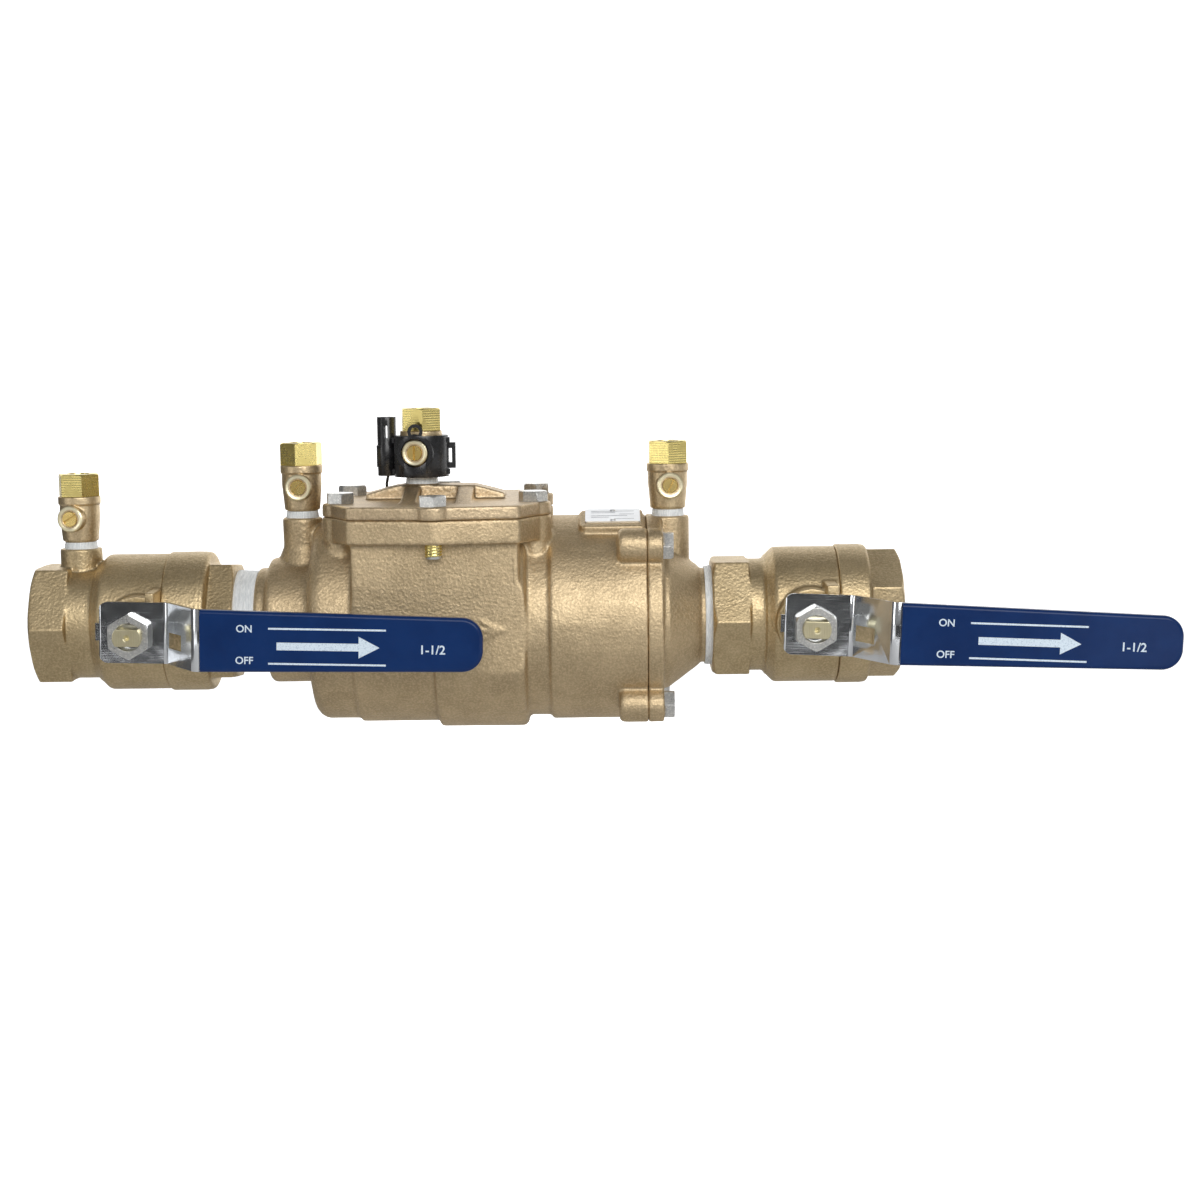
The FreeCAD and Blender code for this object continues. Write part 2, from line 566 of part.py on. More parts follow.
def faced(shape, index):
    """Turn a cock piece about its own upright axis to where its thread is tight."""
    facing = shape.copy()
    facing.rotate(cock_centre(index), Z_AXIS, COCK_TURN[index])
    return facing


def slot_turn(shape, index):
    """Turn a cock piece from a vertical slot to its angle as left by the tester."""
    turned_piece = shape.copy()
    turned_piece.rotate(cock_centre(index), Y_AXIS, 90.0 - COCK_SLOT_ANGLE[index])
    return faced(turned_piece, index)


def cock_ball(index):
    centre = cock_centre(index)
    reach = V(0, 0, COCK_BALL_R)
    ball = Part.makeSphere(COCK_BALL_R, centre)
    drive = box(centre.x - 5, centre.x + 5, centre.y - COCK_BALL_R, centre.y - 3.4,
                centre.z - 0.9, centre.z + 0.9)
    return slot_turn(cut(ball, rod(COCK_BORE_R, centre - reach, centre + reach), drive), index)


def cock_plug(index):
    """Slotted plug stem that turns the ball."""
    centre = cock_centre(index)
    foot = COCK_CAVITY_R + 0.2
    shaft = rod(COCK_PLUG_R, centre - V(0, foot, 0), centre - V(0, COCK_GLAND_OUT + 0.3, 0))
    tang = box(centre.x - 2.6, centre.x + 2.6, -foot - 0.5, -3.6, centre.z - 0.8, centre.z + 0.8)
    slot = box(centre.x - SCREW_SLOT / 2, centre.x + SCREW_SLOT / 2, -COCK_GLAND_OUT - 1,
               -COCK_GLAND_OUT + 1.2, centre.z - 5, centre.z + 5)
    return slot_turn(cut(fused(shaft, tang), slot), index)


# ---- main body and covers
def bolt_places():
    """Six cover bolts, one on each corner of the hexagonal joint."""
    return [V(COVER_X + BOLT_CIRCLE_R * math.cos(math.radians(a)),
              BOLT_CIRCLE_R * math.sin(math.radians(a)), 0) for a in range(-90, 270, 60)]


def end_bolt_places():
    return [V(0, y * END_BOLT_Y, z * END_BOLT_Z) for y, z in ((-1, 1), (-1, -1), (1, -1), (1, 1))]


def column_places():
    """The cover bolts that go into columns, not into the front or back of the flange."""
    return [place for place in bolt_places() if abs(place.x - COVER_X) > 1]


def joint_plate(low, high, edge, places):
    """Flange of the top joint, with an ear round each of the bolts given."""
    quarter = [(0, FLANGE_FRONT), (FLANGE_WIDE_X, FLANGE_WIDE_Y), (FLANGE_SIDE_X, FLANGE_SIDE_Y)]
    right = [(x, -y) for x, y in quarter] + quarter[::-1]
    corners = [(COVER_X + x, y, 4) for x, y in right + [(-x, -y) for x, y in right[1:-1]]]
    ears = [turned_up([(0, low), (EAR_R, low, edge), (EAR_R, high, edge), (0, high)])
            for _ in places]
    for ear, place in zip(ears, places):
        ear.translate(place)
    return fused(slab(corners, low, high), *ears)


def main_body():
    shell = turned([(TAIL_X, 0), (TAIL_X, PIPE_THREAD_R), (INLET.end, PIPE_THREAD_R),
                    (INLET.end, MALE_THREAD_R), (HUB_RING_X, MALE_THREAD_R),
                    (HUB_RING_X, HUB_RING_R, 0.8), (HUB_X, HUB_RING_R, 1.2), (HUB_X, HUB_R, 2.5),
                    (BARREL_1_X, HUB_R, 4), (BARREL_1_X, BARREL_1_R, 7),
                    (CHAMBER_X, BARREL_1_R, 0.5), (CHAMBER_X, BELLY_1_R, 0.8),
                    (STEP_X, BELLY_1_R, 0.8), (STEP_X, BELLY_2_R, 1.8), (GROOVE_X, BELLY_2_R, 3),
                    (GROOVE_X, GROOVE_R, 2.2), (BARREL_2_X, GROOVE_R, 0.8),
                    (BARREL_2_X, BARREL_2_R, 1.0), (END_JOINT_X, BARREL_2_R), (END_JOINT_X, 0)])
    left, right = COVER_X - PANEL_HALF, COVER_X + PANEL_HALF
    for low, high in ((-BELLY_2_R - 5, -PANEL_Y), (PANEL_Y, BELLY_2_R + 5)):
        shell = shell.cut(box(left, GROOVE_X + 0.5, low, high, -BELLY_2_R, BELLY_2_R))
    shell = shell.cut(box(BARREL_1_X, BARREL_2_X, -BELLY_2_R, BELLY_2_R, JOINT_Z - 2, BELLY_2_R + 5))
    cheeks = box(left, right, -PANEL_Y, PANEL_Y, -10, JOINT_Z - 2)
    flange = joint_plate(JOINT_Z - BODY_FLANGE, JOINT_Z, 0, column_places())
    columns = [column(place) for place in column_places()]
    lugs = [end_lug(place) for place in end_bolt_places()]
    solid = fused(shell, cheeks, flange, cock_boss(1, 10.0), cock_foot(), nameplate_pad(),
                  flow_arrow(), *(columns + lugs))
    return cut(solid, *body_hollows())


def cock_foot():
    """Flared foot of the second cock boss on the inlet hub."""
    foot, radius = HUB_R - 3, COCK_BOSS_R[1]
    return turned_up([(0, foot), (radius + 3.5, foot), (radius, foot + 9), (0, foot + 9)], COCK_X[1])


def column(place):
    """Upright bolt column at a corner of the joint, with a ledge at its foot."""
    ledge = COLUMN_FOOT_Z
    body = turned_up([(0, ledge), (COLUMN_R + 1.6, ledge, 1.5), (COLUMN_R + 1.6, ledge + 4, 1.5),
                      (COLUMN_R, ledge + 5.5, 1.5), (COLUMN_R, JOINT_Z - 2), (0, JOINT_Z - 2)])
    body.translate(place)
    return body


def end_lug(place):
    """Bolt lug of the outlet joint on the body."""
    start = END_JOINT_X - END_LUG_LEN
    lug = turned([(start, 0), (start, END_LUG_R, 2.5), (END_JOINT_X, END_LUG_R), (END_JOINT_X, 0)])
    inward = V(0, -place.y, -place.z).normalize()
    root = lug.copy()
    lug.translate(place)
    root.translate(place + inward * 5)
    return fused(lug, root)


def body_hollows():
    """Waterway, chamber, seat bores, threads and grooves of the body."""
    first, second = SEAT_X
    bolts = [rod(BOLT_R, place + V(0, 0, COVER_TOP - COVER_BOLT_LEN - 0.5), place + V(0, 0, JOINT_Z))
             for place in bolt_places()]
    ends = [rod(BOLT_R, place + V(END_FACE_X - END_BOLT_LEN - 0.5, 0, 0), place + V(END_JOINT_X, 0, 0))
            for place in end_bolt_places()]
    return [rod(BODY_BORE_R, V(TAIL_X, 0, 0), V(first, 0, 0)),
            rod(SEAT_RING_R, V(first - SEAT_LIP_LEN - SEAT_PRESS_LEN, 0, 0), V(first, 0, 0)),
            rod(CHAMBER_R, V(first - SEAT_LIP_LEN, 0, 0), V(WEB_2_X, 0, 0)),
            rod(OPENING_R, V(COVER_X, 0, 0), V(COVER_X, 0, JOINT_Z)),
            rod(BODY_BORE_R, V(WEB_2_X, 0, 0), V(second, 0, 0)),
            rod(SEAT_RING_R, V(second - SEAT_LIP_LEN - SEAT_PRESS_LEN, 0, 0), V(second, 0, 0)),
            rod(CHAMBER_R, V(second - SEAT_LIP_LEN, 0, 0), V(END_JOINT_X, 0, 0)),
            ring(SEAL_OUT_R, SEAL_IN_R, V(COVER_X, 0, JOINT_Z - SEAL_DEEP), V(COVER_X, 0, JOINT_Z)),
            ring(SEAL_OUT_R, SEAL_IN_R, V(END_JOINT_X - SEAL_DEEP, 0, 0), V(END_JOINT_X, 0, 0)),
            cock_drilling(1, 0.0)] + bolts + ends


def flow_arrow():
    """Raised cast arrow on the front cheek, pointing downstream."""
    tip = COVER_X + 33.5
    arrow = slab([(tip, 0), (tip - 11, 4.6), (tip - 11, 3.4), (tip - 4.6, 0.6), (tip - 26, 0.6),
                  (tip - 26, -0.6), (tip - 4.6, -0.6), (tip - 11, -3.4), (tip - 11, -4.6)], 0, 1.5)
    arrow.rotate(V(0, 0, 0), X_AXIS, 90)
    arrow.translate(V(0, 1 - PANEL_Y, 0))
    return arrow


def ridge():
    """Long ridge across the top cover, sloping down at both ends."""
    profile = [(-RIDGE_LEFT, COVER_TOP - 1), (-RIDGE_LEFT, RIDGE_END_Z, 1.5),
               (-PLATEAU_LEFT, RIDGE_TOP, 8), (PLATEAU_RIGHT, RIDGE_TOP, 8),
               (RIDGE_RIGHT, RIDGE_END_Z, 1.5), (RIDGE_RIGHT, COVER_TOP - 1)]
    body = slab(profile, -RIDGE_HALF, RIDGE_HALF)
    body.rotate(V(0, 0, 0), X_AXIS, 90)
    body.translate(V(COVER_X, 0, 0))
    return body


def rib(x):
    """Cross rib of the top cover, from the ridge down to the flange on both sides."""
    profile = [(-RIB_REACH, COVER_TOP - 1), (-RIB_REACH, COVER_TOP), (-RIDGE_HALF + 1, RIDGE_TOP - 0.4),
               (RIDGE_HALF - 1, RIDGE_TOP - 0.4), (RIB_REACH, COVER_TOP), (RIB_REACH, COVER_TOP - 1)]
    body = slab(profile, -RIB_WIDTH / 2, RIB_WIDTH / 2)
    body.rotate(V(0, 0, 0), X_AXIS, 90)
    body.rotate(V(0, 0, 0), Z_AXIS, 90)
    body.translate(V(COVER_X + x, 0, 0))
    return body


def top_cover():
    plate = joint_plate(JOINT_Z, COVER_TOP, 0.6, bolt_places())
    solid = fused(plate, ridge(), rib(-RIB_X), rib(RIB_X), cock_boss(2, JOINT_Z + 1))
    holes = [rod(BOLT_HOLE_R, place + V(0, 0, JOINT_Z), place + V(0, 0, COVER_TOP))
             for place in bolt_places()]
    return cut(solid, cock_drilling(2, JOINT_Z), *holes)


def outlet_cover():
    """Four-bolt cover that narrows to the male outlet thread."""
    shell = turned([(END_JOINT_X, 0), (END_JOINT_X, BARREL_2_R), (END_FACE_X, BARREL_2_R, 0.8),
                    (END_FACE_X, CONE_BASE_R, 2), (CONE_X, CONE_BASE_R, 0.8), (CONE_TIP_X, CONE_TIP_R, 0.8),
                    (CONE_TIP_X, MALE_THREAD_R), (OUTLET.face, MALE_THREAD_R),
                    (OUTLET.face, PIPE_THREAD_R), (OUTLET.face + PIPE_THREAD_LEN, PIPE_THREAD_R),
                    (OUTLET.face + PIPE_THREAD_LEN, 0)])
    lugs = [rod(END_LUG_R, place + V(END_JOINT_X, 0, 0), place + V(END_FACE_X, 0, 0))
            for place in end_bolt_places()]
    webs = [rod(END_LUG_R, place * 0.9 + V(END_JOINT_X, 0, 0), place * 0.9 + V(END_FACE_X, 0, 0))
            for place in end_bolt_places()]
    holes = [rod(BOLT_HOLE_R, place + V(END_JOINT_X, 0, 0), place + V(END_FACE_X, 0, 0))
             for place in end_bolt_places()]
    funnel = turned([(END_JOINT_X, 0), (END_JOINT_X, CONE_BASE_R - 4), (END_FACE_X, CONE_BASE_R - 6),
                     (CONE_TIP_X - 3, BODY_BORE_R), (OUTLET.face + PIPE_THREAD_LEN, BODY_BORE_R),
                     (OUTLET.face + PIPE_THREAD_LEN, 0)])
    solid = fused(shell, cock_boss(3, 10.0), *(lugs + webs))
    return cut(solid, funnel, cock_drilling(3, 0.0), *holes)


def hex_bolt(seat, out, spin, length):
    """Bolt with its head on the seat and its shank running back from it."""
    side = Z_AXIS if abs(out.z) < 0.5 else Y_AXIS
    corner = FreeCAD.Rotation(out, spin).multVec(side)
    top = seat + out * BOLT_HEAD
    reach = BOLT_FLATS / math.sqrt(3)
    chamfer = Part.makeCone(reach + 2.4, reach - 0.7, BOLT_HEAD, seat, out)
    head = hex_bar(BOLT_FLATS, seat, top, corner).common(chamfer)
    return fused(head, rod(BOLT_R, seat - out * length, seat))


def joint_seal(start, end):
    return ring(SEAL_OUT_R, SEAL_IN_R, start, end)


def tilted(shape):
    """Lean a piece drawn on top of the barrel towards the levers."""
    shape.rotate(V(0, 0, 0), X_AXIS, PLATE_TILT)
    return shape


def nameplate_pad():
    x = END_JOINT_X - PLATE_FROM_JOINT
    long, wide = PLATE_LEN / 2 + PAD_MARGIN, PLATE_WIDE / 2 + 1.5
    front = wide - 1.5 + PAD_FRONT
    pad = slab([(x - long, -front, 4), (x + long - 1.5, -front, 1), (x + long - 1.5, wide, 1),
                (x - long, wide, 4)], CHAMBER_R - 3, PAD_R)
    return tilted(pad)


def nameplate():
    x = END_JOINT_X - PLATE_FROM_JOINT
    long, wide = PLATE_LEN / 2, PLATE_WIDE / 2
    plate = slab([(x - long, -wide, 0.8), (x + long, -wide, 0.8), (x + long, wide, 0.8),
                  (x - long, wide, 0.8)], PAD_R, PAD_R + PLATE_THICK)
    return tilted(plate)


def nameplate_rivets():
    x, top = END_JOINT_X - PLATE_FROM_JOINT, PAD_R + PLATE_THICK
    rivets = []
    for side in (-1, 1):
        y = side * (PLATE_WIDE / 2 - RIVET_INSET)
        head = Part.makeCone(RIVET_R, RIVET_R * 0.6, RIVET_HIGH, V(x, y, top))
        rivets.append(tilted(head))
    return rivets


# ---- check valves
def check_seat(x):
    """Bronze seat ring, pressed into the wall, with a lip downstream."""
    return cut(fused(rod(SEAT_RING_R, V(x - SEAT_LIP_LEN - SEAT_PRESS_LEN, 0, 0), V(x, 0, 0)),
                     rod(SEAT_LIP_R, V(x - SEAT_LIP_LEN, 0, 0), V(x, 0, 0))),
               rod(SEAT_BORE_R, V(x - SEAT_LIP_LEN - SEAT_PRESS_LEN, 0, 0), V(x, 0, 0)))


def check_disc(x):
    return ring(DISC_R, POPPET_NOSE_R, V(x + DISC_GAP, 0, 0), V(x + DISC_GAP + DISC_THICK, 0, 0))


def check_poppet(x):
    """Disc holder with a nose through the disc and a guide rod downstream."""
    back = x + DISC_GAP + DISC_THICK
    rod_end = back + POPPET_THICK + SPRING_LEN + CAGE_BACK + GUIDE_TAIL
    nose_r = POPPET_NOSE_R
    return turned([(x - 2, 0), (x - 2, nose_r - 1.5), (x, nose_r), (back, nose_r), (back, POPPET_R, 0.8),
                   (back + POPPET_THICK, POPPET_R, 1.5), (back + POPPET_THICK, GUIDE_R),
                   (rod_end, GUIDE_R, 0.8), (rod_end, 0)])


def spring_start(x):
    return x + DISC_GAP + DISC_THICK + POPPET_THICK


def check_spring(x):
    start = spring_start(x)
    length = SPRING_LEN - 2 * SPRING_WIRE_R
    helix = Part.makeHelix(length / SPRING_TURNS, length, SPRING_MEAN_R)
    wire = Part.Wire(Part.makeCircle(SPRING_WIRE_R, V(SPRING_MEAN_R, 0, 0), Y_AXIS))
    coil = Part.Wire(helix).makePipeShell([wire], True, True)
    coil.rotate(V(0, 0, 0), Y_AXIS, 90)
    coil.translate(V(start + SPRING_WIRE_R, 0, 0))
    return coil


def check_cage(x):
    """Ring round the seat lip with three legs to the guide hub."""
    base, hub = x - SEAT_LIP_LEN, spring_start(x) + SPRING_LEN
    end = hub + CAGE_BACK
    pieces = [ring(CAGE_R, SEAT_LIP_R, V(base, 0, 0), V(x + 3, 0, 0)),
              rod(CAGE_HUB_R, V(hub, 0, 0), V(end, 0, 0))]
    for turn in (90, 210, 330):
        leg = fused(box(x, end, -CAGE_LEG / 2, CAGE_LEG / 2, SEAT_LIP_R, CAGE_R - 0.3),
                    box(hub, end, -CAGE_LEG / 2, CAGE_LEG / 2, CAGE_HUB_R - 2, CAGE_R - 0.3))
        leg.rotate(V(0, 0, 0), X_AXIS, turn)
        pieces.append(leg)
    return cut(fused(*pieces), rod(GUIDE_R + GUIDE_FIT, V(hub, 0, 0), V(end, 0, 0)))


# ---- plastic collar on the third test cock
def clip_ring():
    x, base = COCK_X[2], COCK_BOSS_TOP[2]
    centre = cock_centre(2)
    port = V(0, CLIP_OUT_R, 0)
    band = ring(CLIP_OUT_R, CLIP_IN_R, V(x, 0, base + CLIP_LOW), V(x, 0, base + CLIP_HIGH))
    face = rod(CLIP_FACE_R, centre, centre - V(0, COCK_GLAND_OUT - 0.4, 0))
    core = rod(CLIP_IN_R, V(x, 0, base + CLIP_LOW), V(x, 0, base + CLIP_HIGH + 5))
    return faced(cut(fused(band, face.cut(core)), rod(CLIP_PORT_R, centre, centre - port)), 2)


def collar_front():
    x, base = COCK_X[2], COCK_BOSS_TOP[2]
    high = base + CLIP_HIGH
    half = clip_ring().common(box(x - 20, x + 20, -20, 0, base, base + 40))
    bars = [box(x - CLIP_OUT_R - 0.8, x + CLIP_OUT_R + 0.8, -3.4, 0, z - 1.3, z + 1.3)
            for z in (base + CLIP_LOW + 2.4, high - 2.4)]
    core = rod(CLIP_IN_R, V(x, 0, base), V(x, 0, high))
    hoop = V(x - 2.0, -CLIP_IN_R - 0.4, high + 2.2)
    eyelet = ring(EYELET_R, EYELET_R - EYELET_BAR, hoop, hoop - V(0, 2.0, 0))
    return fused(half, eyelet, *[bar.cut(core) for bar in bars])


def collar_rear():
    x, base = COCK_X[2], COCK_BOSS_TOP[2]
    middle = base + (CLIP_LOW + CLIP_HIGH) / 2
    half = clip_ring().common(box(x - 20, x + 20, 0, 20, base, base + 40))
    core = rod(CLIP_IN_R, V(x, 0, base), V(x, 0, base + CLIP_HIGH))
    outer = box(x + CLIP_IN_R, x + BUCKLE_OUT, 0, 6.0, middle - 6.5, middle + 6.5)
    loop = outer.cut(box(x + CLIP_OUT_R, x + BUCKLE_OUT - 1.8, -1, 7, middle - 3.6, middle + 3.6))
    web = box(x + TUBE_X, x - CLIP_IN_R, 6.0, 8.6, middle - 7, middle + 7)
    socket = rod(TUBE_R, V(x + TUBE_X, TUBE_Y, base), V(x + TUBE_X, TUBE_Y, base + TUBE_TOP))
    return fused(half, loop.cut(core), web.cut(core).cut(socket))


def collar_seal_tube():
    """Slotted plastic tube that hangs on the collar and keeps the tamper seal."""
    at = V(COCK_X[2] + TUBE_X, TUBE_Y, COCK_BOSS_TOP[2])
    low, high = V(0, 0, CLIP_LOW), V(0, 0, TUBE_TOP)
    tube = fused(rod(TUBE_R, at + low, at + high),
                 ring(TUBE_BAND_R, TUBE_R, at + V(0, 0, TUBE_BAND_LOW), at + V(0, 0, TUBE_BAND_HIGH)))
    slot = box(at.x - 0.8, at.x + 0.8, at.y - 6, at.y + 6, at.z + 22.5, at.z + 29.0)
    hollow = rod(TUBE_BORE_R, at + V(0, 0, TUBE_BAND_LOW), at + high)
    return cut(tube, slot, hollow, collar_rear())


def collar_tether():
    """Limp tie from the seal tube to the collar: straight runs and tangent arcs."""
    at = V(COCK_X[2], 0, COCK_BOSS_TOP[2])
    points = [at + V(*p) for p in TETHER_ROUTE]
    edges, start = [], points[0]
    for before, point, after in zip(points, points[1:], points[2:]):
        back, ahead = before - point, after - point
        reach = 0.45 * min(back.Length, ahead.Length)
        back.normalize()
        ahead.normalize()
        half = back.getAngle(ahead) / 2
        radius = reach * math.tan(half)
        middle = point + (back + ahead).normalize() * (radius / math.sin(half) - radius)
        enter, leave = point + back * reach, point + ahead * reach
        edges += [Part.LineSegment(start, enter).toShape(), Part.Arc(enter, middle, leave).toShape()]
        start = leave
        print("tether bend radius %.1f" % radius)
    edges.append(Part.LineSegment(start, points[-1]).toShape())
    path = Part.Wire(edges)
    circle = Part.Wire(Part.makeCircle(TETHER_D / 2, points[0], points[1] - points[0]))
    tube = path.makePipeShell([circle], True, True)
    print("tether length %.1f, volume ratio %.3f"
          % (path.Length, tube.Volume / (path.Length * math.pi * TETHER_D ** 2 / 4)))
    return tube


def pipe_tape(start, end):
    """PTFE tape standing proud of a male pipe thread."""
    return turned([(start, MALE_THREAD_R), (start, MALE_THREAD_R + 1.6, 0.3),
                   (end, MALE_THREAD_R + 0.9, 0.3), (end, MALE_THREAD_R)])


# ---- build every piece
os.makedirs("parts", exist_ok=True)

for valve in (INLET, OUTLET):
    save(valve.name + "_valve_body", valve_body(valve))
    save(valve.name + "_valve_end", valve_end(valve))
    save(valve.name + "_valve_seats", *valve_seats(valve))
    save(valve.name + "_valve_ball", valve_ball(valve))
    save(valve.name + "_valve_stem", valve_stem(valve))
    save(valve.name + "_gland_nut", gland_nut(valve))
    save(valve.name + "_lever", lever(valve))
    save(valve.name + "_grip", grip(valve))
    save(valve.name + "_lever_nut", handle_nut(valve))
save("stem_packings", valve_packing(INLET), valve_packing(OUTLET))

for index in range(4):
    save("test_cock_%d_body" % (index + 1), cock_body(index))
    save("test_cock_%d_ball" % (index + 1), cock_ball(index))
    save("test_cock_%d_plug" % (index + 1), cock_plug(index))
save("test_cock_adapters", *[cock_adapter(i) for i in range(4)])
save("test_cock_seats", *[seat for i in range(4) for seat in cock_seats(i)])
save("test_cock_tape", *[cock_tape(i) for i in range(4)])

save("main_body", main_body())
save("top_cover", top_cover())
save("top_cover_seal", joint_seal(V(COVER_X, 0, JOINT_Z - SEAL_DEEP), V(COVER_X, 0, JOINT_Z)))
save("top_cover_bolts", *[hex_bolt(place + V(0, 0, COVER_TOP), Z_AXIS, spin, COVER_BOLT_LEN)
                          for place, spin in zip(bolt_places(), COVER_BOLT_SPIN)])
save("outlet_cover", outlet_cover())
save("outlet_cover_seal", joint_seal(V(END_JOINT_X - SEAL_DEEP, 0, 0), V(END_JOINT_X, 0, 0)))
save("outlet_cover_bolts", *[hex_bolt(place + V(END_FACE_X, 0, 0), X_AXIS, spin, END_BOLT_LEN)
                             for place, spin in zip(end_bolt_places(), END_BOLT_SPIN)])
save("nameplate", nameplate())
save("nameplate_rivets", *nameplate_rivets())
save("pipe_thread_tape", pipe_tape(INLET.end, HUB_RING_X - 0.2), pipe_tape(OUTLET.face - 3.5, OUTLET.face))

for number, x in enumerate(SEAT_X, 1):
    save("check_%d_seat" % number, check_seat(x))
    save("check_%d_disc" % number, check_disc(x))
    save("check_%d_poppet" % number, check_poppet(x))
    save("check_%d_spring" % number, check_spring(x))
    save("check_%d_cage" % number, check_cage(x))

save("collar_front", collar_front())
save("collar_rear", collar_rear())
save("collar_seal_tube", collar_seal_tube())
save("collar_tether", collar_tether())
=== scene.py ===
"""Looks of a bronze double check backflow preventer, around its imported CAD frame. Metres."""
import json
import math

import bmesh
import bpy
from mathutils import Matrix, Vector, noise


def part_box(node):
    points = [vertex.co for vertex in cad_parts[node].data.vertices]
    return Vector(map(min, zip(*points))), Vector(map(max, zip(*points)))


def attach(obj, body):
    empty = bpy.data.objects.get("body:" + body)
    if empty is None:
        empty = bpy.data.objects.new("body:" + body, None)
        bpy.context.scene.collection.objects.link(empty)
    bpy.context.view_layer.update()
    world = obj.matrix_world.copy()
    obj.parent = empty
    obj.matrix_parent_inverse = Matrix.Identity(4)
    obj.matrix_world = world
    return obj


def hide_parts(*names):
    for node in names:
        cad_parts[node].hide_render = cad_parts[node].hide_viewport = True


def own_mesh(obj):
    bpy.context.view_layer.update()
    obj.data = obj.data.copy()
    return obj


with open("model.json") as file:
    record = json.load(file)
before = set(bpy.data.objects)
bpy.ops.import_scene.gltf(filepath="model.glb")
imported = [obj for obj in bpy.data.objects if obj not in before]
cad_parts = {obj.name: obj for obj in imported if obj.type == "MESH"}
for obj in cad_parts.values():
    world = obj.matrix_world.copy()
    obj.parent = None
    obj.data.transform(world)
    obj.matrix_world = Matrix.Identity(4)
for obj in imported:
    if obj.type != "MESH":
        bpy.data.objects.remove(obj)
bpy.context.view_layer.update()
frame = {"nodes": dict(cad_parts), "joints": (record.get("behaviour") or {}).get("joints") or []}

MM = 0.001
NODES = frame["nodes"]
JOINTS = {joint["name"]: joint for joint in frame["joints"]}
PIVOTS = {side: Vector(JOINTS[side + "_lever_turn"]["pos_m"]) for side in ("inlet", "outlet")}
COCKS = [Vector(JOINTS["test_cock_%d_turn" % n]["pos_m"]) for n in (1, 2, 3, 4)]
COCK_FACING = [-Vector(JOINTS["test_cock_%d_turn" % n]["axis"]) for n in (1, 2, 3, 4)]
LEVER_SAG = {"inlet": math.radians(1.6), "outlet": math.radians(2.6)}
LEVER_RAISE = 1.5 * MM
LEVER_BODY = {"inlet": "inlet_lever_group", "outlet": "outlet_lever_group"}
PIPE_THREAD_R = 23.6 * MM
THREAD_PITCH = 25.4 * MM / 11.5
THREAD_LENGTH, THREAD_DEPTH, THREAD_IN = 16.0 * MM, 1.1 * MM, 0.6 * MM
RIDGE_WIDTH = 0.98                  # share of the pitch


# ---- camera and the free tether
def place_camera():
    """Long lens from the lever side, a little above the pipe."""
    distance, elevation, roll = 1.100, math.radians(7.0), math.radians(-0.67)
    target = Vector((0.2857, 0.0, 0.0082))
    data = bpy.data.cameras.new("camera")
    data.lens, data.sensor_width = 64.5, 36.0
    data.clip_start, data.clip_end = 0.05, 40.0
    camera = bpy.data.objects.new("camera", data)
    camera.location = target + Vector((0.0, -math.cos(elevation), math.sin(elevation))) * distance
    camera.rotation_euler = (Matrix.Rotation(math.pi / 2 - elevation, 3, "X")
                             @ Matrix.Rotation(roll, 3, "Z")).to_euler()
    bpy.context.scene.collection.objects.link(camera)
    bpy.context.scene.camera = camera


TETHER_D = 1.5 * MM
TETHER_ROUTE = ((-18.0, 11.0, 3.8), (-19.6, 12.4, -1.6), (-18.8, 17.0, -4.7), (-14.4, 20.6, -5.0),
                (-9.8, 19.4, -3.4), (-7.9, 15.3, 0.2), (-7.5, 10.8, 3.5))
COCK_STEM_UP = 15.8 * MM


def tether_line():
    """Thin plastic tie from the seal tube back to the collar."""
    foot = COCKS[2] - Vector((0, 0, COCK_STEM_UP))
    curve = bpy.data.curves.new("collar_tether_line", "CURVE")
    curve.dimensions = "3D"
    curve.bevel_depth = 1.0          # metre, times each point's radius
    curve.bevel_resolution = 4
    curve.use_fill_caps = True
    curve.resolution_u = 16
    spline = curve.splines.new("NURBS")
    spline.points.add(len(TETHER_ROUTE) - 1)
    for point, place in zip(spline.points, TETHER_ROUTE):
        point.co = (*(foot + Vector(place) * MM), 1.0)
        point.radius = TETHER_D / 2
    spline.order_u = 3
    spline.use_endpoint_u = True
    tie = bpy.data.objects.new("collar_tether_line", curve)
    bpy.context.scene.collection.objects.link(tie)
    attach(tie, "root")
    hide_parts("collar_tether")
    return tie


place_camera()
tether = tether_line()


# ---- shader expressions
class Value:
    """A node socket that can be worked with as a number or a colour."""

    def __init__(self, tree, socket):
        self.tree, self.socket = tree, socket

    def math(self, operation, first, second):
        node = self.tree.nodes.new("ShaderNodeMath")
        node.operation = operation
        for target, value in zip(node.inputs, (first, second)):
            feed(self.tree, target, value)
        return Value(self.tree, node.outputs[0])

    def __add__(self, other):
        return self.math("ADD", self, other)

    def __sub__(self, other):
        return self.math("SUBTRACT", self, other)

    def __mul__(self, other):
        return self.math("MULTIPLY", self, other)

    def __rsub__(self, other):
        return self.math("SUBTRACT", other, self)

    __radd__, __rmul__ = __add__, __mul__


def feed(tree, target, value):
    """Link a socket, or set the constant on it."""
    if isinstance(value, Value):
        tree.links.new(value.socket, target)
    elif isinstance(value, (tuple, list)) and len(value) == 3 and target.type == "RGBA":
        target.default_value = (*value, 1.0)
    else:
        target.default_value = value


